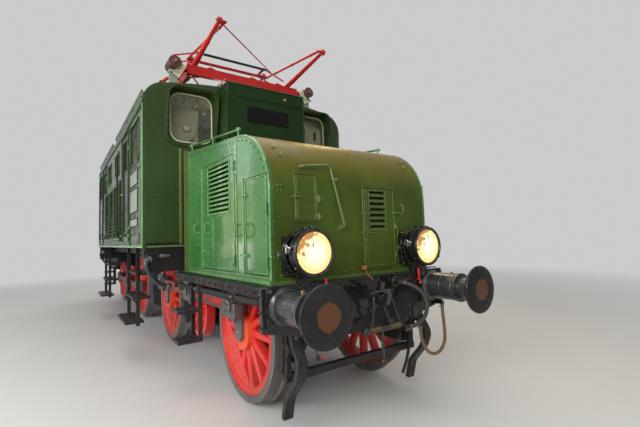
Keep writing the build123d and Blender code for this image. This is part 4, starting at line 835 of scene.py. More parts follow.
def lamp_trim(piece, side, glass):
    """Headlamp: domed glass, bezel, bands, clips, a catch at its right and a clamp screw"""
    piece.pen("black", AHEAD, lambda x, y=0.0, z=0.0: Vector((x, side * LAMP_Y + y, LAMP_Z + z)))
    dome = ((-0.002, 0.1665), (0.006, 0.166), (0.016, 0.14), (0.024, 0.1), (0.029, 0.05), (0.03, 0.01))
    piece.spin((5.352,), dome, glass, sides=48)
    piece.ring((5.368,), 0.18, 0.009, sides=48)
    piece.ring((5.362,), 0.169, 0.004, "rust", sides=48)
    for x, thick in ((5.225, 0.006), (5.31, 0.004), (5.186, 0.005)):
        piece.ring((x,), 0.1925, thick, sides=40)
    for angle in (90, 215, 325):
        way = yz(angle)
        at = piece.at((5.35,)) + way * 0.194
        piece.bar(at - AHEAD * 0.03, at + AHEAD * 0.022, 0.018, 0.012, side=way)
        piece.bolt(at - AHEAD * 0.018 + way * 0.006, 0.006, "steel", way, False)
    piece.bar((5.236, -0.196, 0.028), (5.304, -0.196, 0.028), 0.046, 0.012, "chrome", RIGHT)
    piece.bar((5.28, -0.208, -0.002), (5.284, -0.208, 0.06), 0.014, 0.008, "chrome", RIGHT)
    piece.pipe(((5.24, -0.2, 0.046), (5.25, -0.216, 0.062), (5.28, -0.216, 0.068), (5.31, -0.208, 0.048),
                (5.33, -0.2, 0.038)), 0.005, "chrome")
    piece.rod((5.175, -0.15, -0.012), (5.175, -0.226, -0.012), 0.01, "steel")
    piece.bar((5.175, -0.226, -0.036), (5.175, -0.226, 0.012), 0.016, 0.008, "steel", RIGHT)
    piece.bar((5.163, -0.163, 0.142), (5.163, 0.163, 0.142), 0.008, 0.008, "ochre", UP)
    for y, z in four(0.14, 0.14):
        piece.bolt((5.165, y, z - 0.02), 0.009)
    vent = ((0, 0.04), (0.012, 0.04), (0.014, 0.05), (0.022, 0.046), (0.026, 0.02))
    piece.spin((5.262, 0, 0.186), vent, way=UP, sides=20)
    piece.bolt((5.262, 0, -0.204), 0.02, way=-UP)


def buffer_trim(piece, side):
    """Buffer: nuts on the base, bands, oil cup and keys on the casing"""
    piece.pen("casing", AHEAD, lambda x, y=0.0, z=0.0: Vector((x, side * BUFFER_Y + y, BUFFER_Z + z)))
    for y, z in four(0.13, 0.13):
        piece.bolt((5.226, y, z), 0.021, "black")
    for x, radius, thick in ((5.262, 0.132, 0.006), (5.415, 0.1305, 0.003), (5.545, 0.131, 0.005)):
        piece.ring((x,), radius, thick, sides=40)
    piece.spin((5.48, 0, 0.128), ((0, 0.016), (0.014, 0.016), (0.018, 0.01)), "brass", UP, 14)
    for way in (-1, 1):
        piece.bar((5.47, way * 0.131), (5.54, way * 0.131), 0.03, 0.01, side=LEFT * way)
        piece.bolt((5.3, way * 0.13), 0.012, "black", LEFT * way)
    piece.ring((5.744,), 0.112, 0.01, sides=36)
    piece.ring((5.612,), 0.1015, 0.004, "grease", sides=36)


def thread(start, end, pitch, low, high):
    """Profile of a screw thread"""
    profile, far = [(start, low * 0.9)], start
    while far < end:
        profile += [(far + pitch * 0.25, high), (far + pitch * 0.75, low)]
        far += pitch
    return profile + [(end + pitch, low * 0.9)]


def beam_trim(piece):
    """Coupling's screw, bolts, and the air cocks with their red handles and spindles"""
    piece.pen("black", AHEAD)
    for low, high in ((-0.175, -0.045), (0.065, 0.19)):
        piece.spin((5.4, 0, 0.8), thread(low, high, 0.013, 0.0235, 0.0275), "bronze", LEFT, 20)
    for side in (-1, 1):
        piece.bolt((5.392, side * 0.104, 1.11), 0.024, "grease", LEFT * side)
        for z in (0.985, 1.165):
            piece.bolt((BEAM_FACE, side * 0.165, z), 0.018, "grease")
    for at in row(15, (BEAM_FACE, -0.98, 1.196), (0, 0.14, 0)):
        piece.bolt(at, 0.011, washer=False)
    for y, top, low in ((0.69, 1.262, 1.14), (-0.478, 1.256, 1.15)):
        piece.bar((5.226, y, low), (5.218, y, top), 0.024, 0.01, "signal")
        spindle = ((0, 0.022), (0.014, 0.02), (0.034, 0.012), (0.04, 0.008))
        piece.spin((5.2, y, low + 0.008), spindle, sides=14)
    link = ((5.218, 0.69, 1.258), (5.22, 0.76, 1.262), (5.224, 0.85, 1.262), (5.226, 0.96, 1.256))
    piece.pipe(link, 0.006, "ochre")
    piece.pipe(((5.23, 0.69, 1.148), (5.262, 0.662, 1.13), (5.28, 0.64, 1.128)), 0.012, "signal")
    piece.bar((5.236, -0.59, 0.64), (5.24, -0.52, 0.612), 0.026, 0.012, "signal", UP)
    piece.spin((5.236, -0.596, 0.61), ((0, 0.02), (0.03, 0.02), (0.04, 0.01)), way=UP, sides=14)
    piece.rod((5.21, -0.7, 0.88), (5.236, -0.596, 0.64), 0.009, "guard")
    # cock of the first hose: flange, nut and plug
    piece.spin((5.2, 0.367, 1.158), ((0, 0.052), (0.01, 0.052), (0.014, 0.04), (0.024, 0.04)))
    for angle in (45, 135, 225, 315):
        piece.bolt(Vector((5.211, 0.367, 1.158)) + yz(angle, 0.04), 0.007, washer=False)


# Name, replaced node, look, diameter, length, stiffness and route of each brake hose
HOSES = (
    ("grey_brake_hose", "brake_hose_right", "grey_hose", 0.038, 0.711, "stiff",
     ((5.262, 0.395, 1.15), (5.318, 0.47, 1.128), (5.378, 0.566, 1.04), (5.4, 0.59, 0.925),
      (5.402, 0.548, 0.822), (5.4, 0.44, 0.758), (5.4, 0.31, 0.758))),
    ("brown_brake_hose", "brake_hose_left", "brown_hose", 0.032, 0.942, "medium",
     ((5.262, 0.985, 0.862), (5.262, 0.985, 0.78), (5.285, 0.968, 0.69), (5.3, 0.955, 0.6),
      (5.304, 0.95, 0.51), (5.304, 0.891, 0.428), (5.304, 0.795, 0.397), (5.296, 0.699, 0.428),
      (5.28, 0.64, 0.51), (5.262, 0.63, 0.61), (5.262, 0.63, 0.7))),
)


def lay_hose(name, node, look, diameter, length, stiffness, points):
    data = tube(name, points, diameter / 2, resolution=12, around=5)
    data.materials.append(MATS[look])
    piece = bpy.data.objects.new(name, data)
    bpy.context.scene.collection.objects.link(piece)
    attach(piece, "bogie_front")
    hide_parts(node)


def clamp(piece, at, way, radius):
    """A hose clip: band, ears and screw"""
    band = ((0, radius), (0.002, radius + 0.003), (0.018, radius + 0.003), (0.02, radius))
    piece.spin(at - way * 0.01, band, way=way, sides=20)
    out = way.orthogonal().normalized()
    piece.bar(at + out * radius, at + out * (radius + 0.014), 0.014, 0.008, side=way)


def hose_clips(piece):
    piece.pen("steel", AHEAD)
    for name, node, look, diameter, length, stiffness, points in HOSES:
        for end, following in ((points[0], points[1]), (points[-1], points[-2])):
            way = (Vector(following) - Vector(end)).normalized()
            clamp(piece, Vector(end) + way * 0.022, way, diameter / 2 + 0.001)
    first = HOSES[0][-1]
    nut = ((-0.012, 0.024), (-0.002, 0.026), (0.006, 0.022))
    piece.spin(first[0], nut, "brass", Vector(first[1]) - Vector(first[0]), 6)


def on_wheel(axle, side, angle, radius, y):
    """A place on a wheel by the angle that the wheel was drawn at; side is -1 on the right"""
    turn = math.radians(angle if side < 0 else angle + 90)
    return Vector((axle + radius * math.cos(turn), side * y, AXLE_Z - side * radius * math.sin(turn)))


# Distance from the axle and half width, from the hub's flare to the rim's
SPOKE_WIDTHS = ((0.15, 0.052), (0.2, 0.042), (0.26, 0.0375), (0.4, 0.032), (0.51, 0.0285), (0.532, 0.035),
                (0.546, 0.048))


def spoke(piece, angle):
    root = piece.at((angle, 0, 0.7505))
    way = (piece.at((angle, 1, 0.7505)) - root).normalized()
    across = way.cross(LEFT)
    outline = []
    for turn in (math.radians(15 * n) for n in range(24)):
        outline.append([math.copysign(abs(part) ** 0.5, part) for part in (math.cos(turn), math.sin(turn))])
    rings = []
    for far, half in SPOKE_WIDTHS:
        centre = root + way * far
        rings.append([centre + across * (wide * half) + LEFT * (deep * 0.0512) for wide, deep in outline])
    piece.solid(rings)


def crank_trim(piece):
    """Centre mark on the shaft's end, and the collar on its crankpin"""
    piece.spin((0, 0, 0.88), ((-0.002, 0.018), (0.002, 0.016), (0.004, 0.008)), "chrome", sides=16)
    collar = ((0, 0.066), (0.01, 0.066), (0.014, 0.06), (0.015, 0.03))
    piece.spin((90, CRANK_R, 0.9755), collar, "rod_grey", sides=28)


def wheel_trim(piece, axle, side):
    piece.pen("red", LEFT * side, lambda *place: on_wheel(axle, side, *place))
    for number in range(14):
        spoke(piece, 360 / 14 * number)
    for angle, radius in ((196, 0.461), (216, 0.41), (239, 0.402), (266, 0.472)):
        plug = ((-0.002, 0.021), (0.004, 0.02), (0.01, 0.014), (0.012, 0.004))
        piece.spin((angle, radius, 0.802), plug, sides=14)
    for y, radius, thick, look in ((0.806, 0.597, 0.006, "red"), (0.806, 0.541, 0.005, "red"),
                                   (0.82, 0.612, 0.003, "tyre")):
        piece.ring((0, 0, y), radius, thick, look, sides=64)
    crank_trim(piece)
    for angle in (30, 150, 270):
        piece.bolt(piece.at((90, CRANK_R, 0.99)) + xz(angle, 0.04), 0.009, "frame", washer=False)


def disc_trim(piece, side):
    """Crank disc of the jackshaft"""
    piece.pen("red", LEFT * side, lambda *place: on_wheel(PIVOT_X, side, *place))
    piece.ring((0, 0, 0.79), 0.324, 0.006, sides=48)
    crank_trim(piece)


def rod_trim(piece, side):
    """Coupling rods: strap, brasses, wedge bolts and oil cup at each bearing, and the flutes' edges"""
    ahead, up = (0, CRANK_R) if side < 0 else (-CRANK_R, 0)
    piece.pen("rod_grey", LEFT * side,
              lambda x, z, out=0.0: Vector((x + ahead, side * (ROD_Y + out), AXLE_Z + up + z)))
    for x in (AXLES[0], PIVOT_X, AXLES[1]):
        piece.frame(corners(x - 0.146, x + 0.146, -0.108, 0.108, 0.04), 0.014, 0.01)
        for dx in (-0.092, 0.092):
            piece.bar((x + dx, -0.098, 0.04), (x + dx, 0.098, 0.04), 0.022, 0.012, "bronze")
        for dx, dz in four(0.124, 0.082):
            piece.bolt((x + dx, dz, 0.04), 0.012)
        cup = ((0, 0.032), (0.008, 0.032), (0.011, 0.026), (0.014, 0.037), (0.026, 0.035), (0.03, 0.012))
        piece.spin((x, 0.121), cup, way=UP, sides=20)
        piece.spin((x, 0.15), ((0, 0.01), (0.009, 0.01), (0.012, 0.006)), "brass", UP, 12)
        piece.bar((x + 0.05, -0.122), (x + 0.05, -0.15), 0.046, 0.04)
        piece.bolt((x + 0.05, -0.15), 0.014, way=-UP, washer=False)
    for rear, front in ((1.42, 2.58), (2.92, 4.08)):
        for z in (-0.05, 0.05):
            piece.bar((rear, z, 0.0415), (front, z, 0.0415), 0.011, 0.005)


def tread_grips(piece, rear, front, inner, outer, top):
    """Bars along a tread and teeth on its two end edges; inner and outer are distances from the middle"""
    piece.pen("frame", UP)
    for _, y in row(5, (0, -inner - (outer - inner) * 0.7 / 5.4), (0, (inner - outer) / 5.4)):
        piece.bar((rear + 0.012, y, top + 0.002), (front - 0.012, y, top + 0.002), 0.007, 0.007)
    for x, tooth in ((rear, rear - 0.001), (front, front + 0.001)):
        piece.bar((x, -inner, top - 0.012), (x, -outer, top - 0.012), 0.03, 0.007, side=AHEAD)
        for _, y in row(int((outer - inner) / 0.036), (0, -inner - 0.012), (0, -0.036)):
            piece.bar((tooth, y, top - 0.002), (tooth, y, top + 0.014), 0.018, 0.008, side=AHEAD)
    piece.bar((rear, 0.006 - outer, top - 0.004), (front, 0.006 - outer, top - 0.004), 0.01, 0.01, "steel")


# Route of the air pipe along the running board
AIR_PIPE = (
    (2.845, -1.13, 1.062), (2.845, -1.092, 1.062), (2.88, -1.08, 1.062), (3.06, -1.08, 1.068),
    (3.6, -1.078, 1.082), (4.3, -1.074, 1.098), (4.96, -1.066, 1.11), (5.08, -1.06, 1.112),
    (5.11, -1.05, 1.112), (5.112, -1, 1.112),
)


def running_board_trim(piece):
    """Air pipe on clips under the running board, bolts, guard bolts, sand pipe and the step's treads"""
    piece.pen("frame", RIGHT)
    piece.pipe(AIR_PIPE, 0.029, "black_hose", around=3)
    for x, z in ((2.99, 1.066), (3.62, 1.082), (4.674, 1.105)):
        clip = ((0, 0.03), (0.003, 0.036), (0.041, 0.036), (0.044, 0.03))
        piece.spin((x - 0.022, -1.077, z), clip, way=AHEAD, sides=20)
        piece.bar((x, -1.077, z + 0.03), (x, -1.077, 1.15), 0.044, 0.01)
        for dx in (-0.01, 0.01):
            piece.bolt((x + dx, -1.11, z + 0.012), 0.007, "steel", washer=False)
        piece.rod((x + 0.055, -1.09, z - 0.04), (x + 0.055, -1.09, z + 0.04), 0.012)
        piece.bar((x + 0.055, -1.07, z - 0.044), (x + 0.055, -1.13, z - 0.03), 0.018, 0.012, side=UP)
    for z in (1.222, 1.156):
        piece.bar((2.853, -1.129, z), (5.156, -1.073, z), 0.01, 0.006)
    for number in range(14):
        at = Vector((2.853, -1.128, 1.188)).lerp(Vector((5.156, -1.072, 1.188)), (number + 0.5) / 14)
        piece.bolt(at, 0.01, washer=False)
    # planking joints on the board, bolts under it and through the step's uprights
    for x, *_ in row(22, (2.94,), (0.1,)):
        piece.bar((x, -0.965, 1.2285), (x, -1.062 - 0.02 * (5.16 - x), 1.2285), 0.006, 0.003, side=UP)
    for x in (2.92, 3.45, 5):
        for y in (-0.7, -0.82):
            piece.bolt((x, y, 1.147), 0.014, way=-UP)
    for x, way in ((3.513, -AHEAD), (3.787, AHEAD)):
        for z in (0.562, 0.874, 1.11):
            piece.bolt((x, -1.1, z), 0.01, way=way, washer=False)
    # rail guard and axlebox bolts, side plate rivets
    for z in (0.8, 0.88, 0.96):
        piece.bolt((5.159, -0.75, z), 0.014, "guard", AHEAD)
    for x, z in ((3.9, 1.11), (0.9, 1.06)):
        piece.rivets(11, (x, -0.625, z), (0.118, 0, 0), 0.011)
    for axle in AXLES:
        for dx, dz in four(0.13, 0.13):
            piece.bolt((axle + dx, -0.6255, AXLE_Z + dz), 0.016)
    # sand pipe down to the front wheel and its bracket
    piece.pipe(((5.02, -0.7, 1.13), (5.02, -0.74, 1), (5.06, -0.7, 0.7), (5.05, -0.69, 0.45),
                (4.99, -0.69, 0.25), (4.93, -0.7, 0.14)), 0.016)
    piece.bar((4.985, -0.64, 0.9), (5.08, -0.64, 0.9), 0.04, 0.01, side=UP)
    for top in (0.574, 0.886):
        tread_grips(piece, 3.5275, 3.7725, 1.08, 1.33, top)


def beam_side_trim(piece):
    piece.pen("black", RIGHT)
    for z in (1.18, 1.05, 0.93):
        piece.bolt((5.18, -1.0705, z), 0.012, washer=False)
    for y in (-1.02, -0.7, -0.56):
        piece.rivet((BEAM_FACE, y, 0.9), 0.012, way=AHEAD)


# Side windows and blank plates: x and z of the middle, half width, half height
SIDE_WINDOWS = ((2.37, 2.938, 0.32, 0.27), (0.56, 2.968, 0.26, 0.18))
BLANK_PLATES = ((2.3, 2.48, 0.3, 0.105), (2.3, 2.17, 0.3, 0.15), (2.3, 1.88, 0.3, 0.05),
                (2.669, 1.67, 0.045, 0.055))
# Mouldings on the body's side: rear end, front end, z, height, thickness, look
MOULDINGS = (
    (0, 2.92, 1.562, 0.028, 0.012, "trim"), (0, 1.18, 2.56, 0.02, 0.008, "body"),
    (1.87, 2.92, 2.56, 0.02, 0.008, "body"), (0, 2.92, 3.312, 0.03, 0.014, "body"),
    (0, 1.18, 1.64, 0.01, 0.005, "body"), (1.87, 2.92, 1.64, 0.01, 0.005, "body"),
)


def body_side_trim(piece):
    """Body side, from the middle to the front"""
    piece.pen("end", RIGHT, on_body)
    for x, z, wide, high in SIDE_WINDOWS:
        piece.frame(rounded(x, z, wide + 0.012, high + 0.012, 0.06, 0.003), 0.03, 0.012)
        for edge in (z - high - 0.024, z + high + 0.024):
            piece.rivets(6, (x - wide + 0.06, edge, 0.001), ((2 * wide - 0.12) / 5, 0, 0), 0.006)
    for rear, front, z, height, thick, look in MOULDINGS:
        piece.strip((rear, z), (front, z), height, thick, look)
    piece.rod((2.921, 1.55, -0.002), (2.921, 3.33, -0.002), 0.009, "trim", 10)
    for x in (1.935, 2.02):
        piece.strip((x, 1.58), (x, 3.29), 0.016, 0.008, "body")
    for x in (2.895, 1.978, 1.12):
        piece.rivets(24, (x, 1.62), (0, 0.072), 0.006, "body")
    for z in (3.272, 1.6):
        piece.rivets(36, (0.04, z), (0.08, 0), 0.006, "body")
    for x, z, wide, high in BLANK_PLATES:
        piece.frame(corners(x - wide, x + wide, z - high, z + high, 0.004), 0.012, 0.006, "plate")
        piece.bar((x - wide, z, 0.002), (x + wide, z, 0.002), 2 * high, 0.003, "pale", bevel=0.3)
    # door frame, rain strip over the door, feet of the handrails and a steel stay beside each
    for x in (1.186, 1.864):
        piece.strip((x, 1.64), (x, 3.23), 0.02, 0.016)
    piece.bar((1.15, 3.252, 0.012), (1.9, 3.252, 0.012), 0.02, 0.03)
    flange = ((-0.001, 0.03), (0.006, 0.03), (0.01, 0.018), (0.03, 0.013))
    stay = ((0, 1.735, 0.066), (0.02, 1.742, 0.06), (0.2, 1.83, 0.025), (0.24, 1.85, 0.01),
            (0.242, 1.852, -0.001))
    for x, way in ((1.16, -1), (1.9, 1)):
        for z in (1.728, 2.988):
            piece.spin((x, z), flange, "trim", sides=18)
        piece.pipe([(x + way * far, z, out) for far, z, out in stay], 0.011, "steel")
        foot = ((-0.001, 0.024), (0.005, 0.024), (0.008, 0.014))
        piece.spin((x + way * 0.242, 1.852), foot, "trim", sides=14)
    # louvre field frames
    for x in (0.325, 0.395, 1.045):
        piece.bar((x, 1.708, 0.036), (x, 2.568, 0.036), 0.016, 0.01)
    for rear, front in ((0, 0.325), (0.395, 1.045)):
        for z in (1.703, 2.573):
            piece.bar((rear, z, 0.036), (front, z, 0.036), 0.016, 0.01)
    for z in (1.668, 2.608):
        piece.rivets(12, (0.05, z, 0.035), (0.092, 0, 0), 0.008, "body")
    # ladder: treads, bolts and a diagonal stay under the two upper treads
    for inner, outer, top in ((1.25, 1.45, 1.19), (1.28, 1.5, 0.86), (1.36, 1.6, 0.54)):
        tread_grips(piece, 1.3275, 2.1125, inner, outer, top)
        for x, way in ((1.313, -AHEAD), (2.127, AHEAD)):
            piece.bolt((x, -1.44, top - 0.014), 0.01, way=way, washer=False)
            if top > 0.6:
                piece.pipe(((x, -1.44, top - 0.11), (x, -1.448, top - 0.09), (x, 0.014 - outer, top - 0.03),
                            (x, 0.012 - outer, top - 0.02)), 0.008)


def cab_door_trim(piece):
    piece.pen("brass", RIGHT, on_body)
    piece.frame(rounded(1.525, RAIL + 2.9, 0.212, 0.232, 0.05, 0.002), 0.022, 0.01, "end")
    piece.strip((1.5, 2.13), (1.5, 2.6), 0.52, 0.008, "motor", 0.4)
    piece.strip((1.5, 1.7), (1.5, 2.11), 0.52, 0.006, "body", 0.4)
    rose = ((-0.001, 0.034), (0.005, 0.034), (0.008, 0.018), (0.034, 0.013), (0.036, 0.008))
    piece.spin((1.262, 2.37), rose, sides=18)
    piece.rod((1.262, 2.37, 0.036), (1.36, 2.362, 0.036), 0.008)
    piece.spin((1.262, 2.29), ((-0.001, 0.018), (0.004, 0.018), (0.006, 0.01)), sides=14)


def end_wall_trim(piece):
    """End wall: joint strips, the pipe trunk beside the hood, rivets, window frames with wipers"""
    piece.pen("olive_trim", AHEAD, on_end)
    piece.strip((-1.47, 1.56), (1.47, 1.56), 0.022, 0.01)
    for side in (-1, 1):
        piece.strip((side * 1.072, 1.58), (side * 1.072, 2.8), 0.032, 0.012)
        piece.strip((side * 1.035, 1.58), (side * 1.035, 2.78), 0.03, 0.006, "dark_wood")
        piece.rod((side * 0.99, 1.58, 0.01), (side * 0.99, 2.7, 0.01), 0.011, "bronze")
        piece.rivets(16, (side * 1.072, 1.62, 0.012), (0, 0.076, 0), 0.006)
        piece.rivets(22, (side * 1.488, 1.6), (0, 0.076), 0.006, "end")
        piece.rivets(5, (side * 1.14, 2.83), (side * 0.08, 0), 0.005, "end")
        piece.pipe(rounded(side * 0.925, RAIL + 3.185, 0.268, 0.318, 0.13, 0.001), 0.01, "cream", False, True)
        piece.spin((side * 0.925, 2.925), ((0, 0.014), (0.012, 0.014), (0.018, 0.008)), "frame", sides=14)
        piece.rod((side * 0.925, 2.925, 0.012), (side * 0.8, 3.15, 0.014), 0.004, "frame", 8)
        piece.rod((side * 0.775, 3.02, 0.012), (side * 0.835, 3.3, 0.012), 0.005, "frame", 8)


def duct_trim(piece):
    """Duct box between the windows: a blank plate, ribs, bolts and the struts at its top corners"""
    piece.pen("duct", AHEAD, on_duct)
    for z in (2.93, 3.5):
        piece.bar((-0.545, z, 0.004), (0.545, z, 0.004), 0.02, 0.01, bevel=0.3)
        piece.bar((-0.56, z - 0.03, 0.002), (0.56, z - 0.03, 0.002), 0.008, 0.005)
    piece.strip((0, 3.172), (0, 3.376), 0.61, 0.012, "plate", 0.25)
    for y in (-0.288, 0.288):
        for z in (3.187, 3.361):
            piece.bolt((y, z, 0.012), 0.008, "plate", washer=False)
    half = DUCT_HALF - 0.006
    piece.frame(corners(-half, half, DUCT_LOW + 0.006, DUCT_TOP - 0.006), 0.02, 0.014)
    for z in (DUCT_LOW + 0.026, DUCT_TOP - 0.026):
        piece.rivets(12, (-0.53, z), (0.0964, 0), 0.006)
    piece.spin((0.27, 3.56, 0.002), ((-0.002, 0.022), (0.008, 0.02), (0.014, 0.008)), "brass", sides=16)
    for side in (-1, 1):
        piece.rivets(8, (side * DUCT_HALF, DUCT_LOW + 0.06, -0.02), (0, 0.1, 0), 0.006, way=LEFT * side)
        lean = Vector((0, side, 0.7))
        piece.bar((side * 0.57, 3.719, -0.106), (side * 0.649, 3.608, -0.106), 0.05, 0.012, "pale", lean)
        piece.bolt((side * 0.64, 3.634, -0.106), 0.012, "steel", lean)


def cab_fittings(piece):
    """Inside the cab: panel with a gauge, slatted cabinet and pipes over it, seen through the right window"""
    piece.pen("brass", AHEAD)
    piece.block((2.44, -1.09, 2.79), (2.64, -0.745, 3.43), "beige", 0.04)
    piece.block((2.645, -1.05, 2.99), (2.655, -0.77, 3.4), "beige", 0.3)
    piece.spin((2.655, -0.922, 3.158), ((-0.002, 0.052), (0.022, 0.052), (0.026, 0.046)), "frame", sides=28)
    piece.spin((2.681, -0.922, 3.158), ((-0.002, 0.04), (0.002, 0.038)), "cream", sides=28)
    piece.ring((2.681, -0.922, 3.158), 0.046, 0.005, sides=28)
    piece.bar((2.685, -0.922, 3.152), (2.685, -0.902, 3.178), 0.005, 0.003, "plate")
    piece.rod((2.661, -0.922, 3.106), (2.661, -0.922, 3.048), 0.008)
    for x, y, z in row(7, (2.645, -0.735, 3.035), (0, 0, 0.046)):
        piece.bar((x, y, z), (x, -0.56, z), 0.04, 0.014, "dark_wood")
    piece.block((2.48, -0.74, 2.79), (2.636, -0.555, 3.35), "dark_wood", 0.04)
    nut = ((0, 0.024), (0.014, 0.024), (0.02, 0.014), (0.05, 0.014))
    for y, bend in ((-0.985, 0.06), (-0.88, -0.04), (-0.8, 0.05), (-0.65, -0.06)):
        piece.pipe(((2.54, y, 3.43), (2.54, y, 3.5), (2.56, y + bend, 3.56), (2.56, y + bend * 1.5, 3.64),
                    (2.54, y + bend * 1.5, 3.76)), 0.01)
        piece.spin((2.54, y, 3.424), nut, way=UP, sides=14)
    piece.spin((2.6, -0.93, 3.52), ((0, 0.03), (0.02, 0.034), (0.026, 0.014), (0.05, 0.014)), sides=18)
    piece.block((2.5, 0.78, 2.79), (2.66, 1.33, 3.56), "cream", 0.05)
    piece.block((2.655, 1.18, 3.25), (2.668, 1.23, 3.39), "plate")


def on_roof(x, y, out=0.0):
    """A place on the roof's crown, y across from the middle"""
    low, half = RAIL + 3.612, 1.24
    radius = (half * half + (ROOF_TOP - low) ** 2) / (2 * (ROOF_TOP - low))
    turn = math.asin(y / radius)
    return Vector((x, (radius + out) * math.sin(turn), ROOF_TOP - radius + (radius + out) * math.cos(turn)))


def roof_trim(piece):
    """Cross bands with rivets, gutters, planks on brackets along the shoulders, and the air pipe"""
    piece.pen("body", UP)
    band = ((-0.03, -0.004), (-0.028, 0.008), (0.028, 0.008), (0.03, -0.004))
    spread = [2.46 * step / 24 - 1.23 for step in range(25)]
    for x in (0, 0.96, 1.93, 2.88):
        piece.solid([[on_roof(x + dx, y, out) for dx, out in band] for y in spread])
        for y in (2.36 * number / 21 - 1.18 for number in range(22)):
            for dx in (0.018, -0.018):
                at = on_roof(x + dx, y, 0.008)
                piece.rivet(at, 0.006, way=(0, at.y * 0.45, 1))
    for side in (-1, 1):
        out, lean = LEFT * side, Vector((0, side, -0.55))
        eaves = EAVES_Z + 0.02
        piece.bar((0, side * 1.512, eaves), (2.924, side * 1.512, eaves), 0.016, 0.04, side=out)
        piece.bar((0.2, side * 1.488, 3.47), (2.86, side * 1.488, 3.47), 0.11, 0.012, side=lean, bevel=0.2)
        for x in (0.3, 0.9, 1.5, 2.1, 2.7):
            piece.bar((x, side * 1.49, 3.4), (x, side * 1.48, 3.465), 0.03, 0.008, "frame", out)
            piece.bolt((x, side * 1.496, 3.476), 0.01, "frame", lean, False)
    pipe = [on_roof(x, -1.05, 0.028) for x in (0.05, 1, 2, 2.7, 2.78, 2.79)]
    pipe[-1].z -= 0.06
    piece.pipe(pipe, 0.016, "pan_red")
    for x in (0.4, 1, 1.7, 2.3):
        at = on_roof(x, -1.05, 0.028)
        piece.bar(at - UP * 0.036, at + UP * 0.012, 0.04, 0.034, "pan_red", RIGHT)


def coil(piece, start, end, radius, wire, turns):
    start, end = piece.at(start), piece.at(end)
    across, over = square_to((end - start).normalized())
    points, count = [], turns * 8
    for n in range(count + 1):
        turn = 2 * math.pi * n / 8
        points.append(start.lerp(end, n / count) + (across * math.cos(turn) + over * math.sin(turn)) * radius)
    piece.pipe(points, wire, "frame", around=1)


def pantograph_base_trim(piece):
    """Pantograph base: insulator caps and brackets, levers, bearings, lugs, bracing, springs and cylinder"""
    for side in (-1, 1):
        out = LEFT * side
        piece.pen("pan_red", out, lambda x, y, z: Vector((PAN_CENTRE + x, side * y, z)))
        for x, way in ((-0.66, -1), (0.66, 1)):
            for end in (-1, 1):
                cap = ((-0.002, 0.06), (0.006, 0.058), (0.01, 0.034), (0.02, 0.03), (0.026, 0.014))
                piece.spin((x + end * 0.12, 1.075, 4.038), cap, "brown", AHEAD * end)
                piece.bolt((x + end * 0.146, 1.075, 4.038), 0.012, "steel", AHEAD * end, False)
            # slanted pale bracket from the drum's foot to the arm
            piece.bar((x + 0.062, 1.06, 3.868), (x + 0.062, 0.95, 4.048), 0.09, 0.01, "cream", AHEAD)
            piece.bar((x + 0.062, 1.15, 3.92), (x + 0.062, 1, 3.92), 0.03, 0.012, "pale", AHEAD)
            for y in (1.033, 1.117):
                piece.bolt((x + 0.03, y, 3.952), 0.012, "steel", UP)
            # end of the cross bar: cap and gusset
            low = BASE_BAR - 0.03
            piece.bar((x, 0.884, BASE_BAR - 0.06), (x, 0.884, BASE_BAR + 0.06), 0.074, 0.012)
            piece.bar((x - way * 0.032, 0.6, low), (x - way * 0.2, 0.828, low), 0.04, 0.01, side=UP)
        # lever bent out over the roof's shoulder
        piece.pipe(((0.59, 1, 3.88), (0.45, 1.06, 3.95), (0.3, 1.11, 3.96), (0.15, 1.14, 3.89),
                    (0.1, 1.15, 3.69)), 0.024, around=3)
        piece.ring((0.23, 1.124, 3.935), 0.032, 0.014, "frame", (1, 0, 0.5), 20)
        for x in (-0.3, 0, 0.3):
            piece.bar((x, 0.886, 3.935), (x, 0.886, 4.02), 0.04, 0.01)
            piece.bolt((x, 0.89, 3.978), 0.012)
        for x in (-0.49, 0.49):
            for dx, dz in four(0.036, 0.03):
                piece.bolt((x + dx, 0.8345, 4.015 + dz), 0.011, washer=False)
        # raising spring beside the middle, on its rod between two lugs
        coil(piece, (-0.36, 0.3, 4.01), (0.36, 0.3, 4.01), 0.03, 0.0055, 22)
        piece.rod((-0.36, 0.3, 4.01), (0.36, 0.3, 4.01), 0.01, "steel")
        for x in (-0.4, 0.4):
            piece.bar((x, 0.3, 3.962), (x, 0.3, 4.04), 0.03, 0.06, side=AHEAD)
    piece.pen("pan_red", AHEAD, lambda x, y, z: Vector((PAN_CENTRE + x, y, z)))
    for x in (-0.66, 0.66):
        for way in (-1, 1):
            for dz in (-0.045, 0.045):
                piece.rivets(9, (x + way * 0.03, -0.76, BASE_BAR + dz), (0, 0.19, 0), 0.009, way=AHEAD * way)
        for y in (-0.55, 0.1, 0.55):
            top = BASE_BAR + 0.072
            piece.bar((x, y - 0.055, top), (x, y + 0.055, top), 0.07, 0.014, side=UP)
            piece.bar((x, y, BASE_BAR + 0.078), (x, y, BASE_BAR + 0.108), 0.03, 0.02)
    for x, start, end in ((-0.6, -0.8, 0), (0.6, 0, 0.8), (-0.6, 0, 0.8), (0.6, -0.8, 0)):
        piece.rod((x, start, 3.962), (-x, end, 3.962), 0.012)
    cylinder = ((0, 0.05), (0.01, 0.062), (0.27, 0.062), (0.28, 0.05), (0.29, 0.02), (0.42, 0.018))
    piece.spin((-0.2, 0, 4), cylinder, "pale")
    for x in (0.012, 0.13, 0.248):
        piece.ring((x - 0.2, 0, 4), 0.062, 0.006, "pale", sides=24)


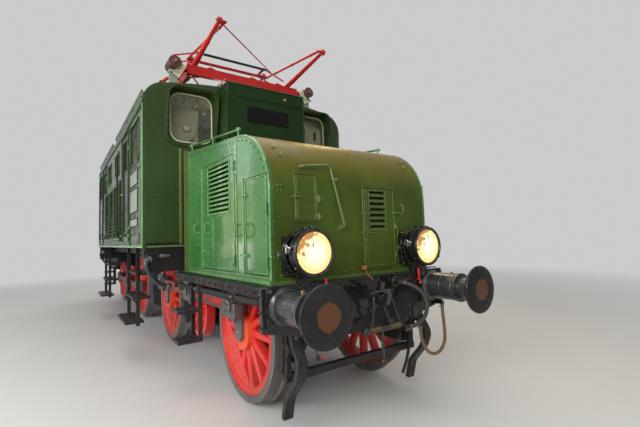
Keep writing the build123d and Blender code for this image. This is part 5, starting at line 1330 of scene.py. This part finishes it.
def pantograph_lower_trim(piece, way):
    """Lower frame: joint caps and collars"""
    piece.pen("pan_red", LEFT)
    shaft, knee = (Vector((PAN_CENTRE + way * x, 0, z)) for x, z in ((0.49, SHAFT_Z), (KNEE_REACH, KNEE_Z)))
    cap = ((-0.001, 0.034), (0.006, 0.034), (0.009, 0.026))
    for y in (-0.765, 0.765):
        out, shift = LEFT * math.copysign(1, y), LEFT * y
        piece.spin(knee + shift + out * 0.022, cap, way=out, sides=20)
        piece.bolt(knee + shift + out * 0.03, 0.013, "steel", out, False)
        for share in (0.25, 0.6):
            at = (shaft + shift).lerp(knee + shift, share)
            piece.ring(at, 0.04 - 0.014 * share, 0.004, way=knee - shaft, sides=20)
    for y in (-0.64, -0.3, 0.3, 0.64):
        piece.ring(shaft + LEFT * y, 0.031, 0.005, sides=20)
    for y in (-0.18, 0.18):
        at = shaft + LEFT * y
        piece.bar(at - UP * 0.03, at - UP * 0.09, 0.04, 0.014)
        piece.bolt(at - UP * 0.072, 0.01, "steel", LEFT * math.copysign(1, y))


def pantograph_upper_trim(piece, way):
    """Upper frame: diagonal stay with its end fittings, and collars"""
    piece.pen("pan_red", LEFT)
    knee_y, apex_y, apex_x = (0.695, 0.695, 0) if way > 0 else (0.695, 0.635, -0.05)
    knee, apex = Vector((PAN_CENTRE + way * KNEE_REACH, 0, KNEE_Z)), Vector((PAN_CENTRE + apex_x, 0, 4.497))
    start, end = knee.lerp(apex, 0.05) - LEFT * knee_y, knee.lerp(apex, 0.86) + LEFT * apex_y
    piece.rod(start, end, 0.009, sides=10)
    for at in (start, end):
        fitting = ((-0.02, 0.012), (-0.014, 0.016), (0.014, 0.016), (0.02, 0.012))
        piece.spin(at, fitting, way=end - start, sides=12)
    for side in (-1, 1):
        for share in (0.12, 0.45, 0.8):
            at = (knee + LEFT * side * knee_y).lerp(apex + LEFT * side * apex_y, share)
            piece.ring(at, 0.0195, 0.004, way=apex - knee, sides=16)


def head_trim(piece):
    """Collector head: greasy wearing strips and bolts under them"""
    piece.pen("grease", UP)
    for x in (PAN_CENTRE - 0.15, PAN_CENTRE + 0.15):
        for _, y in row(4, (0, -0.465), (0, 0.31)):
            piece.bar((x, y - 0.15, 4.567), (x, y + 0.15, 4.567), 0.032, 0.008)
        for y in (-0.56, 0.56):
            piece.bolt((x, y, 4.547), 0.01, "steel", -UP, False)


def air_elbow(piece):
    """Air elbow on the body, ending short of the pipe on the bogie"""
    piece.pen("rod_grey", LEFT)
    piece.pipe(((2.905, -1.47, 1.41), (2.935, -1.49, 1.38), (2.945, -1.47, 1.28), (2.925, -1.38, 1.14),
                (2.88, -1.28, 1.075), (2.85, -1.2, 1.062), (2.845, -1.172, 1.062)), 0.027, "guard", around=3)
    bell = ((-0.06, 0.05), (0.01, 0.056), (0.03, 0.05), (0.036, 0.036), (0.07, 0.034))
    piece.spin((2.9, -1.44, 1.42), bell, way=(0.5, -0.5, -0.4), sides=20)
    piece.block((2.88, -1.48, 1.4), (2.95, -1.33, 1.48), "frame")
    piece.spin((2.915, -1.33, 1.44), ((-0.01, 0.03), (0.06, 0.03), (0.066, 0.02), (0.12, 0.018)), sides=16)
    nut = ((-0.02, 0.028), (-0.012, 0.036), (0.02, 0.036), (0.026, 0.03))
    piece.spin((2.855, -1.215, 1.062), nut, "steel", (-0.2, 1, 0), 20)


# Every piece with its body: those of an end, then those of a corner
def make(name, body, slot, turn, build, *choices):
    """One piece, from one run of its builder for each of the choices"""
    piece = Piece()
    for choice in choices or ((),):
        build(piece, *choice)
    piece.put(name, body, turn)


def end_pieces(end, turn):
    bogie, glass = "bogie_" + end, "lit" if end == "front" else "unlit"
    make("hood_front_trim_" + end, bogie, "hood_paint", turn, hood_front_trim)
    make("beam_trim_" + end, bogie, "black_paint", turn, beam_trim)
    make("lamp_trim_" + end, bogie, "black_paint", turn, lamp_trim, (-1, glass), (1, glass))
    make("buffer_trim_" + end, bogie, "black_paint", turn, buffer_trim, (-1,), (1,))
    for number, axle in (("_1", AXLES[1]), ("_2", AXLES[0])):
        wheels = "wheelset_" + end + number
        make("wheel_trim_" + end + number, wheels, "red_paint", turn, wheel_trim, (axle, -1), (axle, 1))
    make("jackshaft_trim_" + end, "jackshaft_" + end, "red_paint", turn, disc_trim, (-1,), (1,))
    for name, side in (("right", -1), ("left", 1)):
        side = side if end == "front" else -side
        make(f"rod_trim_{end}_{name}", f"rods_{end}_{name}", "bare_steel", turn, rod_trim, (side,))
    make("end_wall_trim_" + end, "body", "green_paint", turn, end_wall_trim)
    make("duct_trim_" + end, "body", "green_paint", turn, duct_trim)
    make("cab_fittings_" + end, "body", "beige_paint", turn, cab_fittings)
    make("roof_trim_" + end, "body", "green_paint", turn, roof_trim)
    make("pantograph_base_trim_" + end, "body", "red_paint", turn, pantograph_base_trim)
    make("pantograph_head_trim_" + end, f"pantograph_{end}_head", "bare_steel", turn, head_trim)
    for name, way in (("outer", 1), ("inner", -1)):
        for part, build in (("lower", pantograph_lower_trim), ("upper", pantograph_upper_trim)):
            arm = f"pantograph_{end}_{part}_{name}"
            make(f"pantograph_{part}_{name}_trim_{end}", arm, "red_paint", turn, build, (way,))


def corner_pieces(end, side, turn):
    bogie, corner = "bogie_" + end, f"_{end}_{side}"
    louvred, leaf = (f"{end}_hood_door_{kind}_{side}" for kind in ("louvred", "front"))
    make("hood_side_trim" + corner, bogie, "hood_paint", turn, hood_side_trim)
    make("louvred_door_trim" + corner, louvred, "hood_paint", turn, louvred_door_trim)
    make("front_leaf_trim" + corner, leaf, "hood_paint", turn, front_leaf_trim)
    make("running_board_trim" + corner, bogie, "black_paint", turn, running_board_trim)
    make("beam_side_trim" + corner, bogie, "black_paint", turn, beam_side_trim)
    make("body_side_trim" + corner, "body", "green_paint", turn, body_side_trim)
    make("cab_door_trim" + corner, "cab_door" + corner, "green_paint", turn, cab_door_trim)
    make("air_elbow" + corner, "body", "bare_steel", turn, air_elbow)


for hose_facts in HOSES:
    lay_hose(*hose_facts)
make("hose_clips", "bogie_front", "bare_steel", ENDS[0][1], hose_clips)
for end, turn in ENDS:
    end_pieces(end, turn)
for end, side, turn in CORNERS:
    corner_pieces(end, side, turn)


# Floor, light and camera
def lay_floor():
    bpy.ops.mesh.primitive_plane_add(size=120, location=(0, 0, 0))
    floor = bpy.context.object
    floor.name = "floor"
    mat = Material("floor_pale")
    tone = mat.mix(mat.noise(0.6, 4.0), (0.60, 0.59, 0.57), (0.66, 0.65, 0.63))
    mat.finish({"Base Color": tone, "Roughness": 0.8})
    # far from the model the camera sees the floor in the background's own grey
    away = mat.calc("SQRT", mat.calc("ADD", mat.times(mat.x, mat.x), mat.times(mat.y, mat.y)))
    far = mat.times(mat.add("LightPath", output="Is Camera Ray"), mat.ramp(away, 7.0, 15.0))
    near = mat.tree.nodes["Principled BSDF"].outputs[0]
    mixed = mat.add("MixShader", {0: far, 1: near, 2: mat.add("Emission", {"Color": BACKGROUND})})
    mat.feed(mat.tree.nodes["Material Output"].inputs["Surface"], mixed)
    floor.data.materials.append(mat.owner)


# The lights: name, place, aim, size, power and colour. Three tall ones are mirrored in the hood's side.
HOOD_SIDE, WHITE = (4.7, -0.95, 2.0), (1.0, 1.0, 1.0)
LIGHTS = (
    ("window_light", (6.5, -9.0, 4.5), (3.5, 0, 1.5), (9.0, 5.0), 900, (0.95, 0.98, 1.0)),
    ("front_light", (12.5, -6.0, 5.5), (4.0, 0, 1.5), (4.0, 3.0), 320, (1.0, 0.95, 0.86)),
    ("curve_light", (-1.2, 5.4, 8.2), (4.6, 0, 2.4), (1.5, 1.5), 50, (1.0, 0.66, 0.22)),
    ("cab_light", (2.0, 0.0, 3.5), (2.6, -0.3, 2.8), (0.5, 1.4), 14, (1.0, 0.95, 0.80)),
    ("side_light_high", (-7.4, -7.0, 5.2), HOOD_SIDE, (1.1, 2.0), 12, WHITE),
    ("side_light_low", (-7.3, -7.0, 0.9), HOOD_SIDE, (0.7, 1.2), 9, WHITE),
    ("side_light_warm", (-8.0, -7.0, 2.7), HOOD_SIDE, (1.5, 3.7), 16, (1.0, 0.85, 0.45)),
    ("top_light", (1.0, 0, 9.0), (1.0, 0, 0), (12.0, 8.0), 500, (1.0, 0.93, 0.82)),
    ("back_light", (-9.0, 7.0, 5.0), (0, 0, 1.5), (8.0, 5.0), 300, WHITE),
)


def add_light(name, at, aim, size, power, colour):
    data = bpy.data.lights.new(name, "AREA")
    data.shape = "RECTANGLE"
    data.size, data.size_y = size
    data.energy = power
    data.color = colour
    lamp = bpy.data.objects.new(name, data)
    way = Vector(aim) - Vector(at)
    lamp.matrix_world = Matrix.Translation(at) @ way.to_track_quat("-Z", "Y").to_matrix().to_4x4()
    bpy.context.scene.collection.objects.link(lamp)


def set_world():
    """Dim sky light, and the plain background for what the camera sees directly, mirrored or through glass"""
    world = Nodes(bpy.data.worlds.new("studio"))
    lighting = world.tree.nodes["Background"]
    lighting.inputs["Color"].default_value = (0.85, 0.88, 0.92, 1.0)
    lighting.inputs["Strength"].default_value = 0.35
    seen = 0.0
    for ray in ("Is Camera Ray", "Is Transmission Ray", "Is Glossy Ray"):
        seen = world.calc("MAXIMUM", seen, world.add("LightPath", output=ray))
    shown = world.add("Background", {"Color": BACKGROUND, "Strength": 1.0})
    mixed = world.add("MixShader", {0: seen, 1: lighting.outputs[0], 2: shown})
    world.feed(world.tree.nodes["World Output"].inputs["Surface"], mixed)
    bpy.context.scene.world = world.owner
    bpy.context.scene.view_settings.view_transform = "Standard"


def set_camera():
    yaw, pitch, roll = (math.radians(angle) for angle in CAMERA_TURNS)
    ahead = Vector((math.cos(pitch) * math.cos(yaw), math.cos(pitch) * math.sin(yaw), math.sin(pitch)))
    right = ahead.cross(UP).normalized()
    up = right.cross(ahead)
    level_right = right * math.cos(roll) + up * math.sin(roll)
    level_up = up * math.cos(roll) - right * math.sin(roll)
    data = bpy.data.cameras.new("camera")
    data.sensor_width = 36.0
    data.lens = CAMERA_FOCUS * data.sensor_width / PHOTO_WIDTH
    camera = bpy.data.objects.new("camera", data)
    axes = Matrix((level_right, level_up, -ahead)).transposed().to_4x4()
    camera.matrix_world = Matrix.Translation(CAMERA_AT) @ axes
    bpy.context.scene.collection.objects.link(camera)
    bpy.context.scene.camera = camera


lay_floor()
for light_facts in LIGHTS:
    add_light(*light_facts)
set_world()
set_camera()
